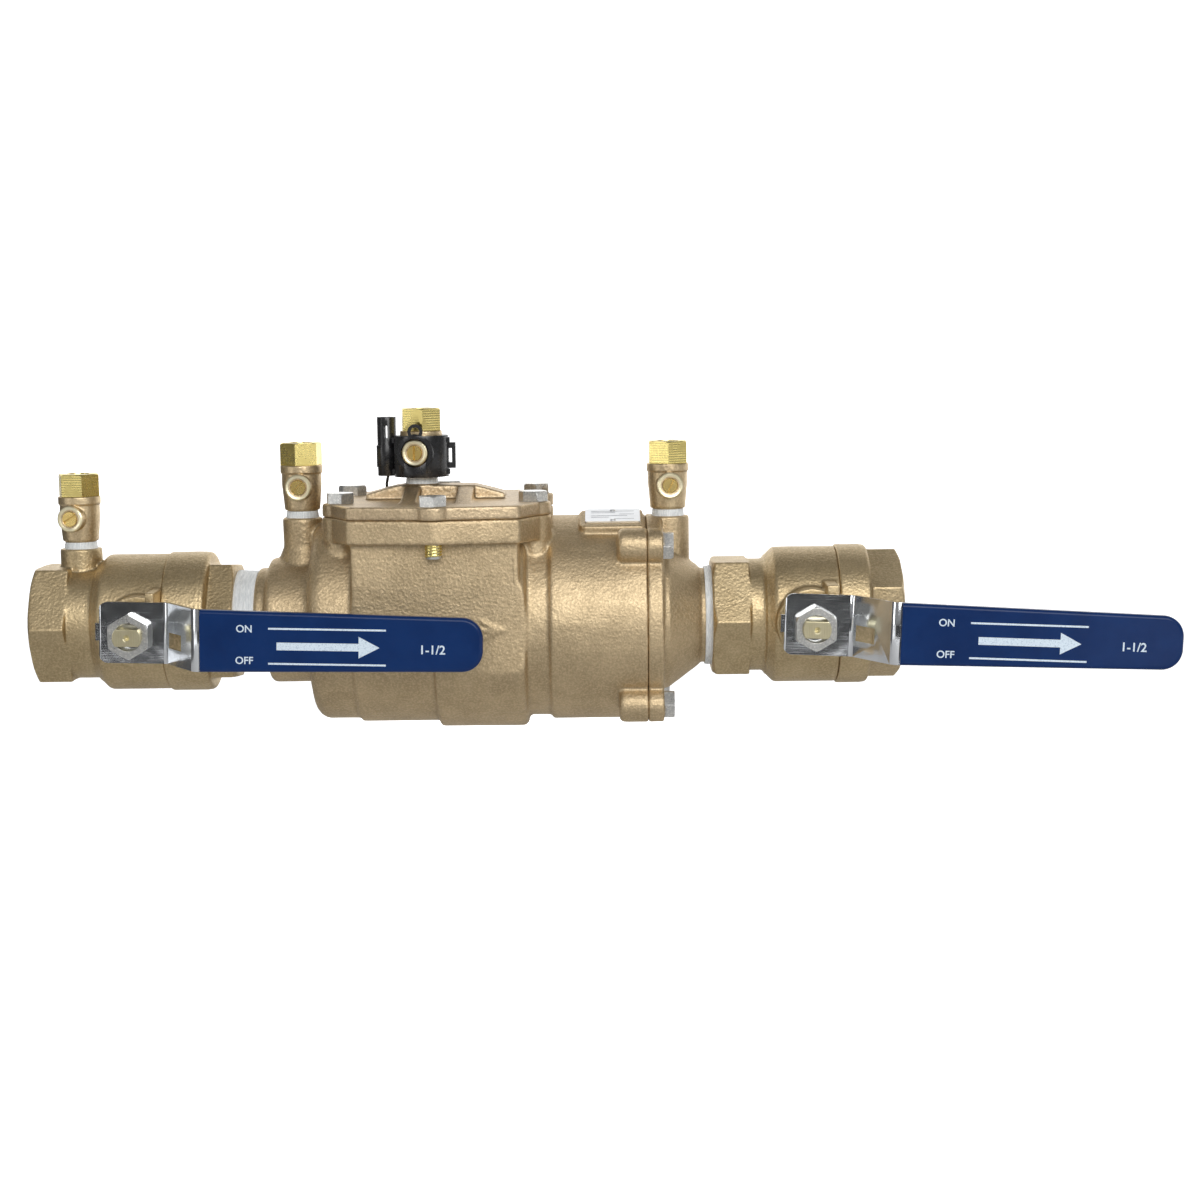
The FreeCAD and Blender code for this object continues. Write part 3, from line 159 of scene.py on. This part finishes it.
class Finish:
    """One material: a principled shader and the nodes that feed it."""

    def __init__(self, name, **constants):
        self.material = bpy.data.materials.new(name)
        self.material.use_nodes = True
        self.tree = self.material.node_tree
        self.shader = self.tree.nodes["Principled BSDF"]
        self.set(**constants)
        self.place = self.node("ShaderNodeTexCoord", out="Object")

    def set(self, **sockets):
        for name, value in sockets.items():
            feed(self.tree, self.shader.inputs[name.replace("_", " ")], value)
        return self

    def node(self, kind, settings=None, out=0, **sockets):
        """Any node: its settings first, then its sockets by name, or by number as i0, i1 and so on."""
        made = self.tree.nodes.new(kind)
        for name, value in (settings or {}).items():
            setattr(made, name, value)
        for name, value in sockets.items():
            target = made.inputs[int(name[1:]) if name[1:].isdigit() else name.replace("_", " ")]
            feed(self.tree, target, value)
        return Value(self.tree, made.outputs[out])

    def noise(self, scale, detail=3.0, roughness=0.5, distortion=0.0, place=None):
        return self.node("ShaderNodeTexNoise", Vector=place or self.place, Scale=scale, Detail=detail,
                         Roughness=roughness, Distortion=distortion)

    def cells(self, scale):
        return self.node("ShaderNodeTexVoronoi", Vector=self.place, Scale=scale)

    def stretch(self, x, y, z):
        return self.node("ShaderNodeMapping", Vector=self.place, Scale=(x, y, z))

    def along(self, axis):
        """One of the three coordinates as a value."""
        return self.node("ShaderNodeSeparateXYZ", out=axis, Vector=self.place)

    def edges(self, low, high):
        """From 0 below low to 1 above high; a flat is at 0.5 and a convex edge is above it."""
        return self.steps(self.node("ShaderNodeNewGeometry", out="Pointiness"), low, high)

    def steps(self, value, low, high):
        return self.node("ShaderNodeMapRange", {"interpolation_type": "SMOOTHSTEP"}, Value=value,
                         From_Min=low, From_Max=high)

    def blend(self, factor, first, second):
        """From the first colour at factor 0 to the second at 1."""
        return self.node("ShaderNodeMix", {"data_type": "RGBA"}, 2, i0=factor, i6=first, i7=second)

    def bump(self, height, distance, strength):
        self.set(Normal=self.node("ShaderNodeBump", Height=height, Distance=distance, Strength=strength))


# ---- finishes
def cast_bronze(name, light, dark, rough=0.46, grit=1.0):
    """Blasted sand casting: grainy skin, cloudy tone, painted shade darkening the hollows, brighter edges
    that are partly rubbed wear and partly painted highlight.
    """
    f = Finish(name, Metallic=1.0)
    clouds = f.noise(38.0, 4.0, 0.6)
    fine = f.noise(950.0, 4.0, 0.62)
    pits = f.cells(620.0)
    tone = f.blend(f.steps(clouds, 0.34, 0.68), dark, light)
    speck = f.steps(fine, 0.40, 0.66)
    tone = f.blend(speck * 0.42, tone, tuple(min(1.0, c * 1.45) for c in light))
    # Painted shade: the colour darkens in hollows, where the pointiness falls below a flat.
    painted_hollow_shade = 1.0 - f.edges(0.42, 0.495)
    tone = f.blend(painted_hollow_shade * 0.62, tone, tuple(c * 0.38 for c in dark))
    # Brighter convex edges: partly rubbed wear, partly a painted highlight along the edges.
    tone = f.blend(f.edges(0.515, 0.60) * 0.6, tone, tuple(min(1.0, c * 1.5) for c in light))
    f.set(Base_Color=tone, Roughness=rough + f.noise(210.0, 2.0) * 0.16 - speck * 0.05)
    f.bump(fine * 0.9 + pits * 0.5 + f.noise(330.0, 2.0) * 0.45, 0.00026 * grit, 0.85)
    return f.material


def turned_brass(name, colour, dark, lines=5200.0, axis=2, rough=0.2):
    """Bright machined brass with faint tool lines round its axis."""
    f = Finish(name, Metallic=1.0)
    ripple = f.node("ShaderNodeMath", {"operation": "SINE"}, i0=f.along(axis) * lines)
    cloud = f.noise(160.0, 3.0)
    tone = f.blend(f.steps(cloud, 0.35, 0.7) * 0.55, colour, dark)
    f.set(Base_Color=tone, Roughness=rough + cloud * 0.14)
    f.bump(ripple * 0.5 + f.noise(1500.0, 2.0) * 0.8, 0.00004, 0.6)
    return f.material


def plated_steel():
    """Bright plated stamping with rolled ripples and handling haze."""
    f = Finish("plated_steel", Metallic=1.0)
    haze = f.noise(70.0, 4.0, 0.6)
    scratches = f.noise(1.0, 2.0, place=f.stretch(60.0, 60.0, 2600.0))
    f.set(Base_Color=f.blend(f.steps(haze, 0.3, 0.75), (0.82, 0.84, 0.86), (0.70, 0.72, 0.75)),
          Roughness=0.07 + haze * 0.10 + f.steps(scratches, 0.62, 0.7) * 0.08)
    f.bump(f.noise(55.0, 2.0) + scratches * 0.03, 0.0009, 0.35)
    return f.material


def zinc_steel():
    """Dull zinc plate with spangle."""
    f = Finish("zinc_steel", Metallic=1.0)
    tone = f.blend(f.steps(f.cells(900.0), 0.1, 0.7), (0.80, 0.79, 0.75), (0.62, 0.62, 0.60))
    f.set(Base_Color=tone, Roughness=0.20 + f.noise(240.0, 3.0) * 0.2)
    f.bump(f.noise(700.0, 3.0), 0.00012, 0.6)
    return f.material


def dipped_vinyl():
    """Glossy navy plastisol with a soft orange-peel skin."""
    f = Finish("blue_vinyl", Roughness=0.28, Coat_Weight=0.05, Coat_Roughness=0.1, Specular_IOR_Level=0.2)
    tone = f.blend(f.steps(f.noise(45.0, 3.0), 0.3, 0.7), (0.0025, 0.020, 0.094), (0.004, 0.027, 0.118))
    f.set(Base_Color=tone)
    f.bump(f.noise(190.0, 2.0) + f.noise(900.0, 2.0) * 0.15, 0.00018, 0.35)
    return f.material


def print_ink():
    f = Finish("print_ink", Roughness=0.45)
    worn = f.steps(f.noise(1400.0, 4.0, 0.7), 0.30, 0.52)
    f.set(Base_Color=f.blend(worn, (0.36, 0.46, 0.58), (0.66, 0.76, 0.85)))
    f.bump(f.noise(1800.0), 0.00003, 0.4)
    return f.material


def grey_ink():
    f = Finish("grey_ink", Roughness=0.5)
    worn = f.steps(f.noise(2500.0, 3.0), 0.4, 0.6)
    f.set(Base_Color=f.blend(worn, (0.20, 0.22, 0.25), (0.42, 0.44, 0.47)))
    f.bump(f.noise(1800.0), 0.00002, 0.3)
    return f.material


def ptfe_tape():
    """Thin white thread tape, wound in overlapping turns."""
    f = Finish("ptfe_tape", Roughness=0.42, Subsurface_Weight=0.08, Subsurface_Radius=(0.002, 0.002, 0.002))
    crease_height_and_painted_shade = f.noise(1.0, 4.0, 0.6, 0.4, f.stretch(1500.0, 260.0, 260.0))
    # Painted shade: the tape is greyer in the dips of the creases and lighter on their crests.
    f.set(Base_Color=f.blend(f.steps(crease_height_and_painted_shade, 0.35, 0.7), (0.66, 0.69, 0.70), (0.86, 0.88, 0.88)))
    f.bump(crease_height_and_painted_shade, 0.0004, 0.6)
    return f.material


def black_plastic():
    f = Finish("black_plastic", Roughness=0.38)
    tone = f.blend(f.steps(f.noise(500.0, 4.0), 0.35, 0.7), (0.009, 0.009, 0.010), (0.018, 0.018, 0.020))
    f.set(Base_Color=tone, Roughness=0.20 + f.noise(300.0, 2.0) * 0.16)
    f.bump(f.noise(1100.0, 3.0), 0.00008, 0.5)
    return f.material


def black_rubber():
    f = Finish("black_rubber", Roughness=0.7)
    f.set(Base_Color=f.blend(f.noise(300.0), (0.014, 0.014, 0.014), (0.03, 0.03, 0.03)))
    f.bump(f.noise(1500.0), 0.00006, 0.5)
    return f.material


def brushed_plate():
    """Brushed aluminium nameplate."""
    f = Finish("plate_aluminium", Metallic=1.0)
    grain = f.noise(1.0, 3.0, 0.7, 0.0, f.stretch(120.0, 5200.0, 5200.0))
    f.set(Base_Color=f.blend(f.steps(grain, 0.3, 0.7), (0.72, 0.74, 0.76), (0.88, 0.89, 0.90)),
          Roughness=0.3 + grain * 0.18)
    f.bump(grain, 0.00005, 0.6)
    return f.material


def chromed_ball():
    f = Finish("chromed_ball", Metallic=1.0, Base_Color=(0.86, 0.87, 0.88))
    f.set(Roughness=0.05 + f.noise(120.0, 2.0) * 0.06)
    f.bump(f.noise(900.0), 0.00001, 0.3)
    return f.material


def spring_wire():
    f = Finish("spring_steel", Metallic=1.0)
    f.set(Base_Color=f.blend(f.noise(600.0), (0.55, 0.55, 0.56), (0.72, 0.72, 0.73)), Roughness=0.28)
    f.bump(f.noise(2000.0), 0.00003, 0.5)
    return f.material


def guide_plastic():
    f = Finish("guide_plastic", Roughness=0.5)
    f.set(Base_Color=f.blend(f.noise(400.0, 4.0), (0.03, 0.032, 0.036), (0.07, 0.074, 0.08)))
    f.bump(f.noise(1300.0), 0.00005, 0.5)
    return f.material


BODY_BRONZE = cast_bronze("cast_bronze", (0.56, 0.44, 0.275), (0.45, 0.35, 0.215))
COVER_BRONZE = cast_bronze("cover_bronze", (0.56, 0.44, 0.285), (0.45, 0.35, 0.225), 0.40)
VALVE_BRONZE = cast_bronze("valve_bronze", (0.55, 0.435, 0.26), (0.44, 0.34, 0.195), 0.40)
COCK_BRONZE = cast_bronze("cock_bronze", (0.62, 0.49, 0.30), (0.50, 0.385, 0.235), 0.34, 0.7)
ADAPTER_BRASS = turned_brass("adapter_brass", (0.84, 0.70, 0.27), (0.66, 0.53, 0.18))
SCREW_BRASS = turned_brass("screw_brass", (0.86, 0.64, 0.24), (0.66, 0.46, 0.14), axis=1)
GLAND_BRASS = turned_brass("gland_brass", (0.93, 0.85, 0.60), (0.84, 0.74, 0.46), axis=2, rough=0.3)
STEM_BRASS = turned_brass("stem_brass", (0.66, 0.60, 0.40), (0.50, 0.44, 0.27), axis=0, rough=0.28)
PLATED = plated_steel()
ZINC = zinc_steel()
VINYL = dipped_vinyl()
INK = print_ink()
GREY_INK = grey_ink()
TAPE = ptfe_tape()
BLACK = black_plastic()
RUBBER = black_rubber()
PLATE = brushed_plate()
BALL = chromed_ball()
WIRE = spring_wire()
GUIDE = guide_plastic()


# ---- building pieces
def show(name, mesh, body, material):
    """Put a mesh in the scene as a piece that rides on a body."""
    piece = bpy.data.objects.new(name, mesh)
    bpy.context.scene.collection.objects.link(piece)
    mesh.materials.clear()
    mesh.materials.append(material)
    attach(piece, body)
    return piece


def mesh_of(name, points, faces, smooth=True):
    mesh = bpy.data.meshes.new(name)
    mesh.from_pydata([tuple(p) for p in points], [], faces)
    mesh.validate()
    mesh.polygons.foreach_set("use_smooth", [smooth] * len(mesh.polygons))
    mesh.update()
    return mesh


def baked(mesh, *modifiers):
    """The mesh with modifiers applied, each (type, settings)."""
    work = bpy.data.objects.new("work", mesh)
    bpy.context.scene.collection.objects.link(work)
    for kind, settings in modifiers:
        modifier = work.modifiers.new(kind, kind)
        for name, value in settings.items():
            setattr(modifier, name, value)
    result = bpy.data.meshes.new_from_object(work.evaluated_get(bpy.context.evaluated_depsgraph_get()))
    bpy.data.objects.remove(work)
    return result


def welded(mesh):
    work = bmesh.new()
    work.from_mesh(mesh)
    bmesh.ops.remove_doubles(work, verts=work.verts, dist=1e-6)
    copy = bpy.data.meshes.new(mesh.name + "_welded")
    work.to_mesh(copy)
    work.free()
    return copy


def casting(node, material, voxel=0.75, soften=4, waves=0.10, keep=0.4):
    """The casting of a CAD node: its sharp corners softened and its skin a little uneven."""
    mesh = baked(welded(NODES[node].data),
                 ("REMESH", {"mode": "VOXEL", "voxel_size": voxel * MM, "use_smooth_shade": True}),
                 ("SMOOTH", {"factor": 0.5, "iterations": soften}),
                 ("DECIMATE", {"ratio": keep}))
    normals = [vertex.normal.copy() for vertex in mesh.vertices]
    for vertex, normal in zip(mesh.vertices, normals):
        swell = noise.noise(vertex.co * 90.0) + 0.5 * noise.noise(vertex.co * 240.0)
        vertex.co += normal * (swell * waves * MM)
    mesh.polygons.foreach_set("use_smooth", [True] * len(mesh.polygons))
    piece = show(node + "_casting", mesh, "root", material)
    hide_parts(node)
    return piece


def wheel(name, profile, place, axis, body, material):
    """A ring turned about an axis through place, from (along, radius) corners of its section."""
    sides = 72
    turn = Vector((0, 0, 1)).rotation_difference(Vector(axis)).to_matrix()
    points, faces, count = [], [], len(profile)
    for step in range(sides):
        angle = 2 * math.pi * step / sides
        for along, radius in profile:
            spot = Vector((radius * math.cos(angle), radius * math.sin(angle), along)) * MM
            points.append(Vector(place) + turn @ spot)
    for step in range(sides):
        here, after = step * count, (step + 1) % sides * count
        for k in range(count):
            faces.append((here + k, here + (k + 1) % count, after + (k + 1) % count, after + k))
    mesh = mesh_of(name, points, faces)
    bevel_shade(mesh)
    return show(name, mesh, body, material)


CORNER = math.radians(35.0)


def bevel_shade(mesh):
    """Smooth shading that breaks at sharper corners."""
    work = bmesh.new()
    work.from_mesh(mesh)
    bmesh.ops.recalc_face_normals(work, faces=work.faces)
    for edge in work.edges:
        edge.smooth = len(edge.link_faces) < 2 or edge.calc_face_angle(0.0) < CORNER
    work.to_mesh(mesh)
    work.free()


# ---- castings
def soften_castings():
    casting("main_body", BODY_BRONZE, 0.8, 6, 0.16, 0.35)
    casting("top_cover", COVER_BRONZE, 0.7, 4, 0.12, 0.4)
    casting("outlet_cover", BODY_BRONZE, 0.75, 4, 0.12, 0.4)
    for side in ("inlet", "outlet"):
        casting(side + "_valve_body", VALVE_BRONZE, 0.6, 3, 0.08, 0.4)
        casting(side + "_valve_end", VALVE_BRONZE, 0.55, 2, 0.05, 0.4)
    for number in (1, 2, 3, 4):
        casting("test_cock_%d_body" % number, COCK_BRONZE, 0.32, 3, 0.06, 0.4)


# ---- pipe threads
def ridge_faces(steps):
    """Faces of a thread whose points run root, crest, root at each step."""
    firsts = [step * 3 + k for step in range(steps) for k in (0, 1)]
    return [(a, a + 1, a + 4, a + 3) for a in firsts]


def pipe_thread(name, mouth, direction, body, material):
    """Ridges of the female pipe thread, wound inside its bore."""
    sides, points = 96, []
    turns = THREAD_LENGTH / THREAD_PITCH
    for step in range(int(sides * turns) + 1):
        angle = 2 * math.pi * step / sides
        along = THREAD_PITCH * step / sides
        fade = min(1.0, step / sides, (sides * turns - step) / sides)
        crest = PIPE_THREAD_R - THREAD_DEPTH * fade
        for offset, radius in ((0.0, PIPE_THREAD_R), (0.5, crest), (1.0, PIPE_THREAD_R)):
            x = mouth + direction * (THREAD_IN + along + offset * THREAD_PITCH * RIDGE_WIDTH)
            points.append((x, radius * math.cos(angle), radius * math.sin(angle)))
    return show(name, mesh_of(name, points, ridge_faces(int(sides * turns))), body, material)


BOLT_THREAD_R, BOLT_THREAD_PITCH, BOLT_THREAD_DEPTH = 4.3 * MM, 1.4 * MM, 0.38 * MM


def bolt_tip(name, top, bottom, place):
    """Cut thread on the end of a bolt that shows under the flange."""
    sides, points = 48, []
    count = int((top - bottom) / BOLT_THREAD_PITCH * sides)
    root = BOLT_THREAD_R - BOLT_THREAD_DEPTH
    for step in range(count + 1):
        angle = 2 * math.pi * step / sides
        z = bottom + BOLT_THREAD_PITCH * step / sides
        for lift, reach in ((0.0, root), (0.5, BOLT_THREAD_R), (1.0, root)):
            points.append((place.x + reach * math.cos(angle), place.y + reach * math.sin(angle),
                           min(z + lift * BOLT_THREAD_PITCH, top)))
    return show(name, mesh_of(name, points, ridge_faces(count)), "root", ADAPTER_BRASS)


# ---- tape
def wound_tape(name, start, end, inner, outer_start, outer_end, place, axis):
    """Thread tape whose windings show as low steps and wrinkles."""
    turn = Vector((0, 0, 1)).rotation_difference(Vector(axis)).to_matrix()
    sides, rows = 96, 26
    points = []
    for row in range(rows + 1):
        share = row / rows
        for step in range(sides):
            angle = 2 * math.pi * step / sides
            swell = outer_start + (outer_end - outer_start) * share
            spiral = abs(((share * 4.6 + step / sides) % 1.0) - 0.5)
            ruffle = noise.noise(Vector((math.cos(angle) * 4, math.sin(angle) * 4, share * 9 + start)))
            radius = swell - 0.35 * spiral + 0.16 * ruffle
            if row in (0, rows):
                radius = inner
            along = start + (end - start) * share
            spot = Vector((radius * math.cos(angle), radius * math.sin(angle), along))
            points.append(Vector(place) + turn @ (spot * MM))
    faces = []
    for row in range(rows):
        for step in range(sides):
            here, after = row * sides + step, row * sides + (step + 1) % sides
            faces.append((here, after, after + sides, here + sides))
    return show(name, mesh_of(name, points, faces), "root", TAPE)


def wind_tapes():
    low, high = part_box("inlet_valve_end"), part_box("outlet_valve_body")
    axis_in, axis_out = Vector((low[1].x, 0, 0)), Vector((high[0].x, 0, 0))
    first = wound_tape("inlet_thread_tape", -1.0, 10.6, 24.0, 25.9, 25.2, axis_in, (1, 0, 0))
    second = wound_tape("outlet_thread_tape", -3.6, 1.0, 24.0, 25.1, 25.6, axis_out, (1, 0, 0))
    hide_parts("pipe_thread_tape")
    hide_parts("pipe_thread_tape")
    for number, cock in enumerate(COCKS, 1):
        foot = cock - Vector((0, 0, COCK_STEM_UP))
        band = wound_tape("test_cock_%d_tape" % number, -0.3, 3.5, 7.2, 8.4, 7.9, foot, (0, 0, 1))
        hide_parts("test_cock_tape")


# ---- levers
GRIP_FRONT = 79.8 * MM
PRINT_LIFT = 0.05 * MM


def letters(name, words, size, centre, side, bold=0.0):
    """Flat printed characters on the front of a grip, centred on (along, up)."""
    text = bpy.data.curves.new(name, "FONT")
    text.body, text.size, text.align_x, text.align_y = words, size * MM, "CENTER", "CENTER"
    text.offset, text.resolution_u = bold * MM, 6
    piece = bpy.data.objects.new(name, text)
    bpy.context.scene.collection.objects.link(piece)
    mesh = bpy.data.meshes.new_from_object(piece.evaluated_get(bpy.context.evaluated_depsgraph_get()))
    bpy.data.objects.remove(piece)
    place_print(mesh, centre, side)
    return show(name, mesh, LEVER_BODY[side], INK)


def place_print(mesh, centre, side):
    """Stand a flat print up against the front of a grip."""
    spot = PIVOTS[side] + Vector((centre[0] * MM, -GRIP_FRONT - PRINT_LIFT, centre[1] * MM + LEVER_RAISE))
    pivot = Matrix.Translation(PIVOTS[side])
    hang = pivot @ Matrix.Rotation(LEVER_SAG[side], 4, "Y") @ pivot.inverted()
    mesh.transform(hang @ Matrix.Translation(spot) @ Matrix.Rotation(math.pi / 2, 4, "X"))


def flow_mark(name, side, left, right, high, low):
    """Plain printed arrow between two lines, pointing along the lever."""
    middle, half = (high + low) / 2, (high - low) / 2
    bars = [((left, high), (right, high), 0.9), ((left, low), (right, low), 0.9)]
    points, faces = [], []
    for (x0, y0), (x1, y1), thick in bars:
        start = len(points)
        points += [(x0, y0 - thick / 2, 0), (x1, y0 - thick / 2, 0), (x1, y0 + thick / 2, 0),
                   (x0, y0 + thick / 2, 0)]
        faces.append(tuple(range(start, start + 4)))
    shaft, head = half * 0.22, half * 0.62
    neck, tip = right - 13, right - 3
    start = len(points)
    points += [(left + 4, middle - shaft, 0), (neck, middle - shaft, 0), (neck, middle - head, 0),
               (tip, middle, 0), (neck, middle + head, 0), (neck, middle + shaft, 0),
               (left + 4, middle + shaft, 0)]
    faces += [(start, start + 1, start + 5, start + 6), (start + 2, start + 3, start + 4)]
    points = [Vector(p) * MM - Vector(((left + right) / 2, middle, 0)) * MM for p in points]
    mesh = mesh_of(name, points, faces, False)
    place_print(mesh, ((left + right) / 2, middle), side)
    return show(name, mesh, LEVER_BODY[side], INK)


def print_grips():
    for side in ("inlet", "outlet"):
        letters(side + "_print_on", "ON", 4.9, (59.6, 6.2), side, 0.07)
        letters(side + "_print_off", "OFF", 4.9, (59.6, -9.0), side, 0.07)
        letters(side + "_print_size", "1-1/2", 6.0, (149.0, -2.6), side, 0.09)
        flow_mark(side + "_print_arrow", side, 71.0, 127.0, 6.6, -10.2)


def dress_levers():
    for side in ("inlet", "outlet"):
        paint(side + "_lever", PLATED, 0.5)
        paint(side + "_lever_nut", ZINC, 0.35)
        paint(side + "_grip", VINYL)
        paint(side + "_valve_stem", STEM_BRASS, 0.2)
        paint(side + "_gland_nut", ADAPTER_BRASS, 0.3)
        paint(side + "_valve_ball", BALL)
        paint(side + "_valve_seats", TAPE)


def paint(node, material, edge=0.0):
    """Give a CAD node its finish, with a small worn edge where edge is set, in millimetres."""
    piece = NODES[node]
    piece.data.materials.clear()
    piece.data.materials.append(material)
    if edge:
        weld = piece.modifiers.new("weld", "WELD")
        weld.merge_threshold = 1e-6
        bevel = piece.modifiers.new("edge", "BEVEL")
        bevel.width, bevel.segments, bevel.limit_method = edge * MM, 2, "ANGLE"
        bevel.angle_limit = math.radians(32)
        bevel.harden_normals = False
    return piece


# ---- test cocks
GLAND_OUT = 13.0 * MM
GLAND_SECTION = ((-0.4, 6.55), (-0.1, 6.55), (0.35, 6.0), (0.35, 5.4), (-0.25, 4.3), (-0.25, 3.85),
                 (-0.4, 3.85))


def dress_cocks():
    for number, (cock, facing) in enumerate(zip(COCKS, COCK_FACING), 1):
        wheel("test_cock_%d_gland_face" % number,
              GLAND_SECTION, cock + facing * GLAND_OUT, facing, "root", GLAND_BRASS)
        paint("test_cock_%d_plug" % number, SCREW_BRASS, 0.1)
        paint("test_cock_%d_ball" % number, BALL)
    paint("test_cock_adapters", ADAPTER_BRASS, 0.2)
    paint("test_cock_seats", TAPE)


# ---- the rest
BOLT_HEAD_R = 7.3 * MM
FLANGE_UNDER = 43.5 * MM            # underside of the top joint's lower flange
PLATE_TILT, PLATE_TOP = math.radians(15.0), 54.83 * MM
PLATE_ROWS = ((3.0, 24.5), (3.0, 15.0), (17.0, 24.5), (3.0, 21.0), (3.0, 12.0), (14.0, 24.5))
PLATE_FIRST_ROW, PLATE_ROW_STEP, PLATE_LINE = 5.6, 2.2, 0.28


def dress_body():
    paint("top_cover_bolts", ZINC, 0.25)
    paint("outlet_cover_bolts", ZINC, 0.25)
    paint("top_cover_seal", RUBBER)
    paint("outlet_cover_seal", RUBBER)
    paint("nameplate", PLATE, 0.1)
    paint("nameplate_rivets", PLATE, 0.1)
    rule_nameplate()
    paint("stem_packings", TAPE)
    for number in (1, 2):
        paint("check_%d_seat" % number, VALVE_BRONZE)
        paint("check_%d_disc" % number, RUBBER)
        paint("check_%d_poppet" % number, GUIDE)
        spring = paint("check_%d_spring" % number, WIRE)
        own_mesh(spring)
        paint("check_%d_cage" % number, GUIDE)
    for node in ("collar_front", "collar_rear", "collar_seal_tube"):
        paint(node, BLACK, 0.25)
    tether.data.materials.append(BLACK)
    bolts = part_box("top_cover_bolts")
    front = Vector(((bolts[0].x + bolts[1].x) / 2, bolts[0].y + BOLT_HEAD_R, 0))
    bolt_tip("front_bolt_thread", FLANGE_UNDER, bolts[0].z, front)


def rule_nameplate():
    """Faint grey data lines on the tilted nameplate, with nothing to read on them."""
    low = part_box("nameplate")[0]
    tilt = Matrix.Rotation(PLATE_TILT, 4, "X")
    points, faces = [], []
    for row, (begin, end) in enumerate(PLATE_ROWS):
        y = PLATE_FIRST_ROW - PLATE_ROW_STEP * row
        first = len(points)
        for x, edge in ((begin, -1), (end, -1), (end, 1), (begin, 1)):
            points.append(tilt @ Vector((low.x + x * MM, (y + edge * PLATE_LINE) * MM, PLATE_TOP)))
        faces.append(tuple(range(first, first + 4)))
    show("nameplate_lines", mesh_of("nameplate_lines", points, faces, False), "root", GREY_INK)


def cut_threads():
    pipe_thread("inlet_port_thread", 0.0, 1, "root", VALVE_BRONZE)
    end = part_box("outlet_valve_end")[1].x
    pipe_thread("outlet_port_thread", end, -1, "root", VALVE_BRONZE)


# ---- studio
def board(name, corners, shade, seen=True, glow=0.0):
    """Flat surface of the studio; one that isn't seen only shows in reflections."""
    mesh = mesh_of(name, corners, [(0, 1, 2, 3)], False)
    piece = bpy.data.objects.new(name, mesh)
    piece.visible_camera = seen
    piece.visible_shadow = seen
    f = Finish(name, Base_Color=(shade,) * 3, Roughness=0.85, Emission_Color=(1.0, 1.0, 1.0),
               Emission_Strength=glow)
    mesh.materials.append(f.material)
    bpy.context.scene.collection.objects.link(piece)


def softbox(name, centre, size, aim, power):
    data = bpy.data.lights.new(name, "AREA")
    data.shape, data.size, data.size_y, data.energy = "RECTANGLE", size[0], size[1], power
    light = bpy.data.objects.new(name, data)
    light.location = centre
    light.rotation_euler = (Vector(aim) - Vector(centre)).to_track_quat("-Z", "Y").to_euler()
    bpy.context.scene.collection.objects.link(light)


def studio():
    """White floor and wall, a large box over the camera, one at the left, dark boards unseen."""
    world = bpy.data.worlds.new("studio")
    world.use_nodes = True
    world.node_tree.nodes["Background"].inputs["Color"].default_value = (1.0, 1.0, 1.0, 1.0)
    world.node_tree.nodes["Background"].inputs["Strength"].default_value = 0.24
    bpy.context.scene.world = world
    bpy.context.scene.view_settings.view_transform = "Standard"
    low = -0.19
    board("floor", [(-6, -6, low), (6, -6, low), (6, 3.2, low), (-6, 3.2, low)], 0.9, glow=0.62)
    board("wall", [(-6, 3.2, low), (6, 3.2, low), (6, 3.2, 4), (-6, 3.2, 4)], 0.9, glow=0.9)
    middle = (0.28, 0, 0)
    softbox("front_box", (0.62, -1.45, 0.72), (1.5, 0.75), middle, 19.0)
    softbox("left_box", (-1.35, -0.9, 0.3), (0.45, 0.6), middle, 3.0)
    board("dark_front", [(-0.42, -1.0, low), (0.72, -1.0, low), (0.72, -1.0, 0.0), (-0.42, -1.0, 0.0)],
          0.02, seen=False)
    board("dark_under", [(-0.7, -0.9, low + 0.004), (1.3, -0.9, low + 0.004), (1.3, 0.8, low + 0.004),
                         (-0.7, 0.8, low + 0.004)], 0.62, seen=False)
    board("grey_left", [(-0.55, -0.35, low), (-0.55, 1.1, low), (-0.55, 1.1, 0.4), (-0.55, -0.35, 0.4)],
          0.12, seen=False)


soften_castings()
cut_threads()
wind_tapes()
dress_levers()
print_grips()
dress_cocks()
dress_body()
studio()
